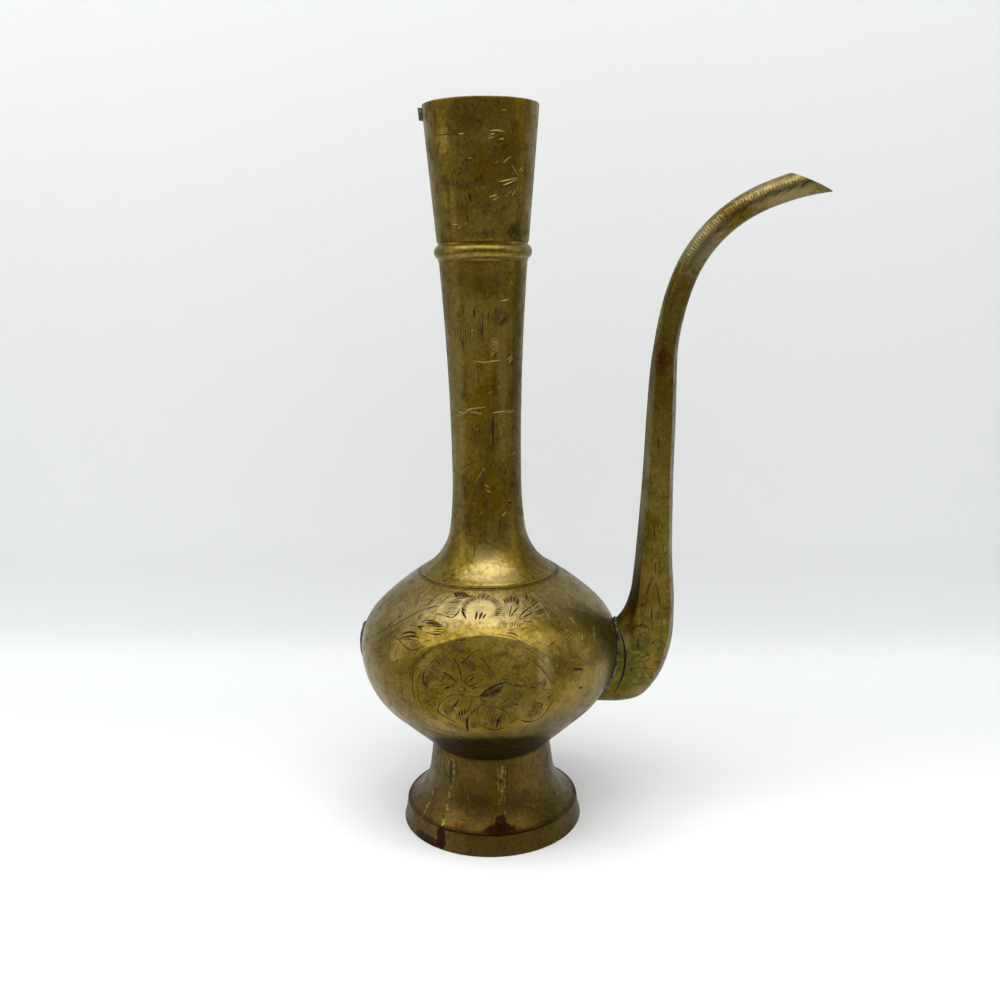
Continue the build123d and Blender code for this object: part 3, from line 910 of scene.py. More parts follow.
# ---------------------------------------------------------------- finishes
class Wiring:
    """Short hand for placing and joining shader nodes."""

    def __init__(self, tree: Nodes) -> None:
        """Take the tree that is wired."""
        self.tree = tree

    def node(self, kind: str, **settings: object) -> bpy.types.Node:
        """Add a node and set its properties."""
        made = self.tree.nodes.new(kind)
        for name, value in settings.items():
            setattr(made, name, value)
        return made

    def feed(self, socket: Socket, value: object) -> None:
        """Link an output to a socket, or set the socket to a plain value."""
        if isinstance(value, Socket):
            self.tree.links.new(value, socket)
        else:
            socket.default_value = value

    def math(self, operation: str, a: object, b: object = 0.0, clamp: bool = False) -> Socket:
        """Return the result of a sum on two values."""
        made = self.node("ShaderNodeMath", operation=operation, use_clamp=clamp)
        self.feed(made.inputs[0], a)
        self.feed(made.inputs[1], b)
        return made.outputs[0]

    def ranged(self, value: object, low: object, high: object, to_low: float = 0.0,
               to_high: float = 1.0) -> Socket:
        """Return a value moved smoothly from one range to another and kept inside it."""
        made = self.node("ShaderNodeMapRange", interpolation_type="SMOOTHSTEP")
        for socket, given in zip(made.inputs, (value, low, high, to_low, to_high)):
            self.feed(socket, given)
        return made.outputs[0]

    def mixed(self, share: object, a: object, b: object) -> Socket:
        """Return a mix of two colours."""
        made = self.node("ShaderNodeMix", data_type="RGBA")
        self.feed(made.inputs["Factor"], share)
        self.feed(made.inputs[6], a)
        self.feed(made.inputs[7], b)
        return made.outputs[2]

    def noise(self, vector: object, scale: object, detail: float, rough: float) -> Socket:
        """Return the value of a cloud noise."""
        made = self.node("ShaderNodeTexNoise", noise_dimensions="3D")
        self.feed(made.inputs["Vector"], vector)
        self.feed(made.inputs["Scale"], scale)
        made.inputs["Detail"].default_value = detail
        made.inputs["Roughness"].default_value = rough
        return made.outputs[0]

    def mapped(self, vector: object, scale: Point = (1, 1, 1), offset: Point = ORIGIN) -> Socket:
        """Return coordinates stretched and moved."""
        made = self.node("ShaderNodeMapping")
        self.feed(made.inputs["Vector"], vector)
        made.inputs["Location"].default_value = offset
        made.inputs["Scale"].default_value = scale
        return made.outputs[0]

    def grouped(self, group: Nodes, **values: object) -> Socket:
        """Place a node group, feed its inputs and return its first output."""
        made = self.node("ShaderNodeGroup", node_tree=group)
        for name, value in values.items():
            self.feed(made.inputs[name], value)
        return made.outputs[0]

    def scaled(self, value: object, share: object) -> Socket:
        """Return a value times a share."""
        return self.math("MULTIPLY", value, share)

    def bumped(self, height: object, strength: float, distance: float) -> Socket:
        """Return the normal of a surface with a height."""
        bump = self.node("ShaderNodeBump")
        bump.inputs["Strength"].default_value = strength
        bump.inputs["Distance"].default_value = distance
        self.feed(bump.inputs["Height"], height)
        return bump.outputs["Normal"]


def new_material(name: str) -> tuple[Metal, Wiring, bpy.types.Node, Socket]:
    """Start a material and return it with its wiring, its shader and its object coordinates."""
    material = bpy.data.materials.new(name)
    material.use_nodes = True
    wiring = Wiring(material.node_tree)
    coords = wiring.node("ShaderNodeTexCoord").outputs["Object"]
    return material, wiring, material.node_tree.nodes["Principled BSDF"], coords


def new_group(name: str, output: str, **inputs: float | Point) -> tuple[Nodes, Wiring, dict]:
    """Start a shader node group.

    Args:
        name: Name of the group.
        output: Name of the one output, a value.
        inputs: Name and default of each input; a tuple makes a vector input.

    Returns:
        The group, its wiring and its input sockets by name.
    """
    group = bpy.data.node_groups.new(name, "ShaderNodeTree")
    for label, value in inputs.items():
        kind = "NodeSocketVector" if isinstance(value, tuple) else "NodeSocketFloat"
        socket = group.interface.new_socket(label, in_out="INPUT", socket_type=kind)
        if not isinstance(value, tuple):
            socket.default_value = value
    group.interface.new_socket(output, in_out="OUTPUT", socket_type="NodeSocketFloat")
    wiring = Wiring(group)
    entry = wiring.node("NodeGroupInput")
    return group, wiring, {label: entry.outputs[label] for label in inputs}


class Effects:
    """Node groups that more than one finish uses."""

    def __init__(self) -> None:
        """Build every group once."""
        self.blotches = self.make_blotches()
        self.runs = self.make_runs()
        self.pits = self.make_pits()
        self.relief = self.make_relief()
        self.spot = self.make_spot()
        self.scratches = self.make_scratches()

    def close(self, group: Nodes, wiring: Wiring, value: Socket) -> Nodes:
        """Join a value to the group's output and return the group."""
        wiring.feed(wiring.node("NodeGroupOutput").inputs[0], value)
        return group

    def make_blotches(self) -> Nodes:
        """Return the group for cloudy patches of tarnish."""
        group, wiring, given = new_group(
            "tarnish_blotches", "Mask", Vector=ORIGIN, Scale=60.0, Low=0.45, High=0.6)
        cloud = wiring.noise(given["Vector"], given["Scale"], 6.0, 0.62)
        return self.close(group, wiring, wiring.ranged(cloud, given["Low"], given["High"]))

    def make_runs(self) -> Nodes:
        """Return the group for faint upright streaks."""
        group, wiring, given = new_group(
            "upright_runs", "Mask", Vector=ORIGIN, Scale=160.0, Low=0.45, High=0.65)
        tall = wiring.mapped(given["Vector"], (1, 1, 0.12))
        cloud = wiring.noise(tall, given["Scale"], 5.0, 0.6)
        return self.close(group, wiring, wiring.ranged(cloud, given["Low"], given["High"]))

    def make_pits(self) -> Nodes:
        """Return the group for small scattered specks."""
        group, wiring, given = new_group("specks", "Mask", Vector=ORIGIN, Scale=300.0, Size=0.16, Rarity=0.8)
        cells = wiring.node("ShaderNodeTexVoronoi", feature="F1")
        wiring.feed(cells.inputs["Vector"], given["Vector"])
        wiring.feed(cells.inputs["Scale"], given["Scale"])
        split = wiring.node("ShaderNodeSeparateColor")
        wiring.feed(split.inputs[0], cells.outputs["Color"])
        chosen = wiring.math("GREATER_THAN", split.outputs[0], given["Rarity"])
        near = wiring.math("LESS_THAN", cells.outputs["Distance"], given["Size"])
        return self.close(group, wiring, wiring.scaled(chosen, near))

    def make_relief(self) -> Nodes:
        """Return the group for the dents and grain of hand-finished metal."""
        group, wiring, given = new_group(
            "hand_finish", "Height", Vector=ORIGIN, Dents=1.0, Marks=1.0, Grain=1.0)
        height = 0.0
        for name, scale, detail, rough, share in (
            ("Dents", 70.0, 2.0, 0.5, 1.0),
            ("Marks", 420.0, 3.0, 0.6, 0.12),
            ("Grain", 2200.0, 2.0, 0.6, 0.025),
        ):
            cloud = wiring.scaled(wiring.noise(given["Vector"], scale, detail, rough), given[name])
            height = wiring.math("ADD", wiring.scaled(cloud, share), height)
        return self.close(group, wiring, height)

    def make_scratches(self) -> Nodes:
        """Return the group for fine straight scratches in two directions."""
        group, wiring, given = new_group(
            "fine_scratches", "Mask", Vector=ORIGIN, Scale=700.0, Low=0.66, High=0.72)
        masks = []
        for turn in (0.6, -0.85):
            long = wiring.node("ShaderNodeMapping", vector_type="TEXTURE")
            long.inputs["Rotation"].default_value = (0.2, turn, 0)
            long.inputs["Scale"].default_value = (40, 1, 1)
            wiring.feed(long.inputs["Vector"], given["Vector"])
            cloud = wiring.noise(long.outputs[0], given["Scale"], 1.0, 0.4)
            masks.append(wiring.ranged(cloud, given["Low"], given["High"]))
        return self.close(group, wiring, wiring.math("MAXIMUM", *masks))

    def make_spot(self) -> Nodes:
        """Return the group for one ragged patch at a place, used for stains and for painted shade, highlights
        and reflections.
        """
        group, wiring, given = new_group(
            "ragged_spot", "Mask", Vector=ORIGIN, Centre=ORIGIN, Reach=ORIGIN, Ragged=0.5, Full=0.75)
        place = given["Vector"]
        for operation, name in (("SUBTRACT", "Centre"), ("DIVIDE", "Reach")):
            step = wiring.node("ShaderNodeVectorMath", operation=operation)
            wiring.feed(step.inputs[0], place)
            wiring.feed(step.inputs[1], given[name])
            place = step.outputs[0]
        length = wiring.node("ShaderNodeVectorMath", operation="LENGTH")
        wiring.feed(length.inputs[0], place)
        cloud = wiring.math("SUBTRACT", wiring.noise(given["Vector"], 520.0, 4.0, 0.6), 0.5)
        edge = wiring.math("ADD", length.outputs["Value"], wiring.scaled(cloud, given["Ragged"]))
        return self.close(group, wiring, wiring.ranged(edge, 1.0, given["Full"]))


@dataclass(frozen=True)
class StainAndPaintedLight:
    """One stain, rubbed place or patch of painted shade, highlight or reflection: centre and reach in mm,
    colour, edge and change of gloss.
    """

    centre: tuple[float, float, float]
    reach: tuple[float, float, float]
    colour: Colour
    strength: float = 0.9
    ragged: float = 1.2
    rough: float = 0.1
    full: float = 0.3


def rgba(colour: Point) -> tuple[float, float, float, float]:
    """Return a colour with full alpha."""
    return (colour[0], colour[1], colour[2], 1.0)


@dataclass(frozen=True)
class AgedBrass:
    """Brass that went olive and brown with age, still bright where it is rubbed."""

    name: str
    bright: Colour = (0.25, 0.178, 0.036)
    olive: Colour = (0.15, 0.104, 0.009)
    brown: Colour = (0.065, 0.042, 0.006)
    tarnish: float = 0.6
    roughness: float = 0.30
    dents: float = 1.0
    marks: float = 1.0
    shift: float = 0.0
    scratched: float = 0.5
    # Stains, rubbed places and patches of painted shade, highlight and reflection.
    stains: tuple[StainAndPaintedLight, ...] = ()

    def build(self, effects: Effects) -> Metal:
        """Return the material."""
        material, wiring, shader, plain = new_material(self.name)
        coords = wiring.mapped(plain, offset=(self.shift, self.shift * 0.7, self.shift * 0.3))
        broad = wiring.grouped(effects.blotches, Vector=coords, Scale=48.0, Low=0.36, High=0.62)
        small = wiring.grouped(effects.blotches, Vector=coords, Scale=230.0, Low=0.5, High=0.66)
        runs = wiring.grouped(effects.runs, Vector=coords, Scale=190.0, Low=0.5, High=0.68)
        specks = wiring.grouped(effects.pits, Vector=coords, Scale=330.0, Size=0.15, Rarity=0.9)
        mottled = wiring.grouped(effects.blotches, Vector=coords, Scale=700.0, Low=0.42, High=0.62)
        worn = wiring.grouped(effects.blotches, Vector=wiring.mapped(coords, offset=(3.1, 1.7, 0.9)),
                              Scale=420.0, Low=0.55, High=0.68)
        dull = wiring.math("ADD", small, wiring.scaled(runs, 0.7))
        dull = wiring.math("MULTIPLY", dull, self.tarnish, clamp=True)
        colour = wiring.mixed(broad, rgba(self.bright), rgba(self.olive))
        for mask, share, over in (
            (dull, 0.75, self.brown), (specks, 0.8, self.brown), (mottled, 0.38, self.brown),
            (worn, 0.45, self.bright),
        ):
            colour = wiring.mixed(wiring.scaled(mask, share), colour, rgba(over))
        rough = wiring.math("ADD", wiring.scaled(dull, 0.22), self.roughness)
        rough = wiring.math("ADD", rough, wiring.scaled(broad, 0.06))
        # Each patch is a stain, a rubbed place, or painted shade, a painted highlight or a painted
        # reflection.
        for stain in self.stains:
            mask = wiring.grouped(
                effects.spot, Vector=plain, Centre=[v * MM for v in stain.centre],
                Reach=[v * MM for v in stain.reach], Ragged=stain.ragged, Full=stain.full)
            mask = wiring.scaled(mask, stain.strength)
            colour = wiring.mixed(mask, colour, rgba(stain.colour))
            rough = wiring.math("ADD", rough, wiring.scaled(mask, stain.rough))
        scratches = wiring.grouped(effects.scratches, Vector=coords, Scale=2300.0, Low=0.66, High=0.74)
        scratches = wiring.scaled(scratches, self.scratched)
        height = wiring.grouped(effects.relief, Vector=coords, Dents=self.dents, Marks=self.marks, Grain=1.0)
        height = wiring.math("SUBTRACT", height, wiring.scaled(scratches, 0.05))
        wiring.feed(shader.inputs["Base Color"], wiring.mixed(scratches, colour, rgba(self.bright)))
        wiring.feed(shader.inputs["Roughness"], rough)
        wiring.feed(shader.inputs["Metallic"], wiring.math("SUBTRACT", 1.0, wiring.scaled(dull, 0.12)))
        wiring.feed(shader.inputs["Normal"], wiring.bumped(height, 0.55, 0.0011))
        return material


@dataclass(frozen=True)
class DullCrust:
    """Dull crust of solder, flux or dirt: two colours that mix in clouds."""

    name: str
    pale: Colour
    dark: Colour
    metal: float = 0.6
    roughness: float = 0.5
    relief: float = 2.0

    def build(self, effects: Effects) -> Metal:
        """Return the material."""
        material, wiring, shader, coords = new_material(self.name)
        cloud = wiring.grouped(effects.blotches, Vector=coords, Scale=420.0, Low=0.4, High=0.6)
        wiring.feed(shader.inputs["Base Color"], wiring.mixed(cloud, rgba(self.pale), rgba(self.dark)))
        wiring.feed(shader.inputs["Roughness"], wiring.math("ADD", wiring.scaled(cloud, 0.2), self.roughness))
        shader.inputs["Metallic"].default_value = self.metal
        height = wiring.grouped(effects.relief, Vector=coords, Dents=0.4, Marks=self.relief, Grain=2.0)
        wiring.feed(shader.inputs["Normal"], wiring.bumped(height, 0.6, 0.001))
        return material


# ---------------------------------------------------------------- sub-assemblies
@dataclass
class Body:
    """Two bowls that meet at a seam, with a flattened panel on the front and back."""

    form: VesselForm
    panel: PanelForm
    steps: int = 300
    inner_steps: int = 144
    lines: tuple = ((1.35, 0.3), (2.25, 0.22))
    pour_hole: tuple[float, float, float] = (9.0, 17.0, 70.4)    # width, height, middle's height
    hole_run: tuple[float, float] = (55.0, 40.0)                 # middle's radius, length of the cutter
    hole_segments: int = 8
    fullest: float = 0.98       # share of a true half round that its ends reach
    inner_step: float = 3.0
    brim: float = 6.0           # mm that the hollow runs on above the crown
    soft_shares: tuple = (0.25, 0.5, 0.75)
    search_start: float = 5.0   # mm from a panel's middle at which the search for its edge starts
    search_walk: float = 0.05
    search_step: float = 0.4

    def solid(self, name: str, depth: float, steps: int) -> Piece:
        """Return the body's form, a depth inside its skin, before its panels are cut."""
        form = self.form
        skin = form.body_skin(depth, self.inner_step if depth else form.step)
        foot = [(0, form.spigot_z + depth), (form.spigot_r - depth, form.spigot_z + depth),
                (form.spigot_r - depth, form.foot_height + depth)]
        if depth:
            brim = form.crown_centre + towards(form.crown_end) * (form.crown_r + self.brim)
            return lathe(name, foot + skin + [brim, (0, brim[1])], steps, closed=False)
        return lathe(name, foot + skin + [(0, skin[-1][1])], steps, closed=False)

    def cut_panels(self, piece: Piece, depth: float) -> None:
        """Cut both panels into a form, a depth inside their surface."""
        for side in (-1, 1):
            middle, normal, _ = self.panel.frame(side)
            carve(piece, slab("panel_cut", middle - normal * depth, normal))

    def crease(self, angle: float) -> tuple[Vector, Vector]:
        """Return the front panel's edge and the skin's normal there, in a direction across the panel.

        Args:
            angle: Direction from the panel's middle, degrees from right, upwards.

        Returns:
            Point in mm and unit normal of the turned skin.
        """
        middle, _, up = self.panel.frame(-1)
        way = Vector((math.cos(math.radians(angle)), 0, 0)) + up * math.sin(math.radians(angle))
        skin = self.form.body_skin(0, self.search_step)
        reach = self.search_start
        while True:
            point = middle + way * reach
            index = next(i for i, p in enumerate(skin) if p[1] >= point[2])
            if math.hypot(point[0], point[1]) >= skin[index][0]:
                break
            reach += self.search_walk
        slope = (skin[index + 1] - skin[index - 1]).normalized()
        outward = Vector((point[0], point[1], 0)).normalized()
        return point, (outward * slope[1] - Vector((0, 0, slope[0]))).normalized()

    def soften(self, piece: Piece) -> None:
        """Round the left part of the front panel's edge with narrow tangent cuts."""
        _, flat, _ = self.panel.frame(-1)
        first, last = self.panel.soft_from, self.panel.soft_to
        for angle in range(first + self.panel.soft_step, last, self.panel.soft_step):
            point, normal = self.crease(angle)
            radius = self.panel.soft_radius * math.sin(math.pi * (angle - first) / (last - first))
            spine = point - (flat + normal) * (radius / (1 + flat.dot(normal)))
            for share in self.soft_shares:
                way = flat.lerp(normal, share).normalized()
                carve(piece, slab("soft_cut", spine + way * radius, way))

    def cut_line(self, piece: Piece, offset: float, depth: float) -> None:
        """Turn a dirt-filled line beside the neck's edge, at an offset from it and of a depth in mm."""
        form = self.form
        middle = form.crown_end - math.degrees(offset / form.crown_r)
        half = math.degrees(depth / form.crown_r)
        wide = [form.crown_centre + towards(middle + side) * (form.crown_r + depth)
                for side in (-2 * half, 2 * half)]
        low = form.crown_centre + towards(middle) * (form.crown_r - depth)
        ring = finished(lathe("line_cut", [*wide, low], self.steps), *piece.data.materials)
        for face in ring.data.polygons:
            face.material_index = Look.DIRT.value
        carve(piece, ring)

    def build(self, metals: Sequence[Metal]) -> list[Piece]:
        """Return the lower and the upper bowl, plain but for the turned line."""
        shell = finished(self.solid("upper_bowl_skin", 0.0, self.steps), *metals)
        self.cut_panels(shell, 0.0)
        self.soften(shell)
        hollow = self.solid("hollow_cut", self.form.wall, self.inner_steps)
        self.cut_panels(hollow, self.form.wall)
        carve(shell, hollow)
        for offset, depth in self.lines:
            self.cut_line(shell, offset, depth)
        lower = copy_of(shell, "lower_bowl_skin")
        seam = Vector((0, 0, self.form.seam_z))
        carve(lower, slab("above_seam", seam, Vector((0, 0, 1))))
        carve(shell, slab("below_seam", seam, Vector((0, 0, -1))))
        carve(lower, self.hole())
        return [lower, shell]

    def hole(self) -> Piece:
        """Return the cutter for the hole into the spout: a bar with rounded ends."""
        wide, tall, height = self.pour_hole
        middle, run = self.hole_run
        clear_selection()
        bpy.ops.mesh.primitive_cube_add(size=1)
        bar = started("hole_cut")
        bar.data.transform(Matrix.Translation(Vector((middle, 0, height)) * MM)
                           @ Matrix.Diagonal(Vector((run * MM, wide * MM, tall * MM, 1))))
        with editing_edges(bar, lambda first, second: abs(first[0] - second[0]) > MM):
            bpy.ops.mesh.bevel(offset=wide / 2 * MM * self.fullest, segments=self.hole_segments)
        return bar


@dataclass
class Foot:
    """Hollow pedestal: a splayed toe, a band, a step, a flare and a stem."""

    form: VesselForm
    base_r: float = 40.0
    toe: tuple[float, float] = (39.0, 2.8)
    band_top: tuple[float, float] = (38.2, 8.9)
    band_step: float = 0.9
    stem_low: tuple[float, float] = (27.5, 24.4)
    wall: float = 1.8
    rim_width: float = 3.0
    fillet: float = 2.0
    bore_r: float = 24.0
    steps: int = 256

    def build(self) -> Piece:
        """Return the turned foot."""
        form = self.form
        low = Vector(self.stem_low)
        stem = form.seat - low
        normal = Vector((stem[1], -stem[0])).normalized()
        step = Vector((self.band_top[0] - self.band_step, self.band_top[1]))
        radius = tangent_radius(low, normal, step)
        centre = low + normal * radius
        start, end = angle_of(low - centre), angle_of(step - centre)
        outline = [self.band_top, self.toe, (self.base_r, 0), (self.base_r - self.rim_width, 0)]
        outline += arc(centre, radius + self.wall, end, start, 1.2)
        outline += [(self.bore_r, form.spigot_z - self.fillet), (self.bore_r, form.foot_height), form.seat]
        outline += line(form.seat, low, 2.0)[1:]
        outline += arc(centre, radius, start, end, 0.8)[1:]
        return lathe("pedestal_foot_skin", eased(outline, 0.45), self.steps)


@dataclass
class Neck:
    """Waisted neck, the ring over its joint and the flared mouth."""

    form: VesselForm
    ring_r: float = 20.0
    ring_low: float = 244.8
    ring_top: float = 252.4
    ring_seat_r: float = 17.9
    ring_gap: float = 0.05
    ring_land: float = 1.0
    ring_land_wall: float = 0.4
    spigot_depth: float = 8.0
    spigot_wall: float = 1.0
    steps: int = 216

    def tube(self) -> Piece:
        """Return the neck."""
        form = self.form
        joint = form.neck_top[1]
        outer = form.neck_skin(0, self.ring_low, 1.6)
        inner = form.neck_skin(form.wall, joint, 4.0)
        seat = [(self.ring_seat_r, self.ring_low), (self.ring_seat_r, joint)]
        return lathe("neck_tube_skin", eased(outer + seat + inner[::-1], 0.25), self.steps)

    def ring(self) -> Piece:
        """Return the ring: a bead between two narrow lands."""
        bore = self.ring_seat_r + self.ring_gap
        land = bore + self.ring_land_wall
        low, top = self.ring_low + self.ring_gap, self.ring_top - self.ring_gap
        start, end = Vector((land, low + self.ring_land)), Vector((land, top - self.ring_land))
        crest = Vector((self.ring_r, (low + top) / 2))
        radius = tangent_radius(crest, Vector((-1, 0)), start)
        centre = crest - Vector((radius, 0))
        bead = arc(centre, radius, angle_of(start - centre) - 360, angle_of(end - centre), 0.35)
        outline = bead + [(land, top), (bore, top), (bore, low), (land, low)]
        return lathe("neck_ring_skin", eased(outline, 0.3), self.steps)

    def mouth(self) -> Piece:
        """Return the mouth: a cone on a spigot, with a softened rim."""
        form = self.form
        (low_r, joint), (rim_r, rim_z) = form.neck_top, form.rim
        slope = Vector((rim_r - low_r, rim_z - joint))
        level_wall = form.wall * slope.length / slope[1]
        low = joint - self.spigot_depth
        spigot_r = form.neck_radius(low, form.wall) - self.ring_gap
        bore = spigot_r - self.spigot_wall
        seat_r = low_r + slope[0] * (self.ring_top - joint) / slope[1]
        outline = [(self.ring_seat_r, self.ring_top)] + line((seat_r, self.ring_top), (rim_r, rim_z), 2.4)
        outline += line((rim_r - level_wall, rim_z), (low_r - level_wall, joint + form.wall), 5.0)
        outline += [(bore, joint), (bore, low), (spigot_r, low), (spigot_r, joint), (self.ring_seat_r, joint)]
        return lathe("mouth_funnel_skin", eased(outline, 0.4), self.steps)


@dataclass
class Spout:
    """Swan-neck spout, brazed from a front and a back half."""

    form: SpoutForm
    vessel: VesselForm
    tip_z: float = 200.0        # middle of the block that trims the tip
    block: float = 900.0        # edge of the blocks that part the halves

    def whole(self) -> Piece:
        """Return the whole spout as one walled tube, before it is trimmed."""
        seam = Vector((self.vessel.body_r, self.vessel.seam_z))
        sections = self.form.sections(seam)
        rings = [self.form.ring(s, 0.0) for s in sections]
        rings += [self.form.ring(s, self.form.wall) for s in reversed(sections)]
        rings.append(rings[0])
        around = len(rings[0])
        clear_selection()
        bpy.ops.mesh.primitive_grid_add(x_subdivisions=around, y_subdivisions=len(rings) - 1, size=1)
        tube = started("spout_tube")
        places = [ring[i % around] * MM for ring in rings for i in range(around + 1)]
        tube.data.vertices.foreach_set("co", [value for spot in places for value in spot])
        tube.data.update()
        return cleaned(tube, 1e-8)

    def trim(self, tube: Piece, body: Piece) -> None:
        """Cut the tip on its slant and the root against the body."""
        seam = Vector((self.vessel.body_r, self.vessel.seam_z))
        outer = Vector(self.form.stations(seam)[-1][2:4])
        heading = self.form.centre(seam, self.form.shaft_length + self.form.bend_length)[1]
        lip = outer - towards(heading) * self.form.lip_trim
        upward = towards(90 - self.form.cut_tilt)
        carve(tube, slab("tip_cut", Vector((lip[0], 0, lip[1])), Vector((upward[0], 0, upward[1]))))
        carve(tube, slab("lip_cut", Vector((self.form.reach, 0, self.tip_z)), Vector((1, 0, 0))))
        carve(tube, body)

    def halves(self, tube: Piece) -> list[Piece]:
        """Return the front and the back half of a finished tube."""
        tube.name = "spout_front_half_skin"
        back = copy_of(tube, "spout_back_half_skin")
        origin = Vector(ORIGIN)
        carve(tube, slab("behind", origin, Vector((0, 1, 0)), self.block))
        carve(back, slab("before", origin, Vector((0, -1, 0)), self.block))
        return [tube, back]


@dataclass
class Solder:
    """Lumpy solder, grown on the shape of the part's own solid."""

    grain: float = 0.35
    lumps: float = 0.5
    lump_size: float = 2.2
    mid_level: float = 0.75

    def build(self, node: str, metals: Sequence[Metal]) -> Piece:
        """Return a lumpy copy of a solid.

        Args:
            node: Name of the solid.
            metals: Finishes of the copy.

        Returns:
            A closed mesh that stays about as large as the solid.
        """
        piece = copy_of(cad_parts[node], f"{node}_lumpy")
        piece.data.materials.clear()
        cleaned(finished(piece, *metals), 1e-6)
        only(piece)
        grown = piece.modifiers.new("grown", "REMESH")
        grown.mode = "VOXEL"
        grown.voxel_size = self.grain * MM
        bpy.ops.object.modifier_apply(modifier=grown.name)
        clouds = bpy.data.textures.new(f"{node}_clouds", "CLOUDS")
        clouds.noise_scale = self.lump_size * MM
        lumpy = piece.modifiers.new("lumpy", "DISPLACE")
        lumpy.texture = clouds
        lumpy.strength = self.lumps * MM
        lumpy.mid_level = self.mid_level
        bpy.ops.object.modifier_apply(modifier=lumpy.name)
        return piece


@dataclass(frozen=True)
class Lamp:
    """One soft lamp: place, aim and size in mm, power in watts."""

    name: str
    place: tuple[float, float, float]
    aim: tuple[float, float, float]
    size: tuple[float, float]
    power: float

    def build(self) -> None:
        """Add the lamp to the scene."""
        data = bpy.data.lights.new(self.name, "AREA")
        data.shape = "RECTANGLE"
        data.size, data.size_y = (v * MM for v in self.size)
        data.energy = self.power
        lamp = bpy.data.objects.new(self.name, data)
        turn = (Vector(self.aim) - Vector(self.place)).normalized().to_track_quat("-Z", "Y")
        lamp.matrix_world = Matrix.Translation(Vector(self.place) * MM) @ turn.to_matrix().to_4x4()
        bpy.context.scene.collection.objects.link(lamp)


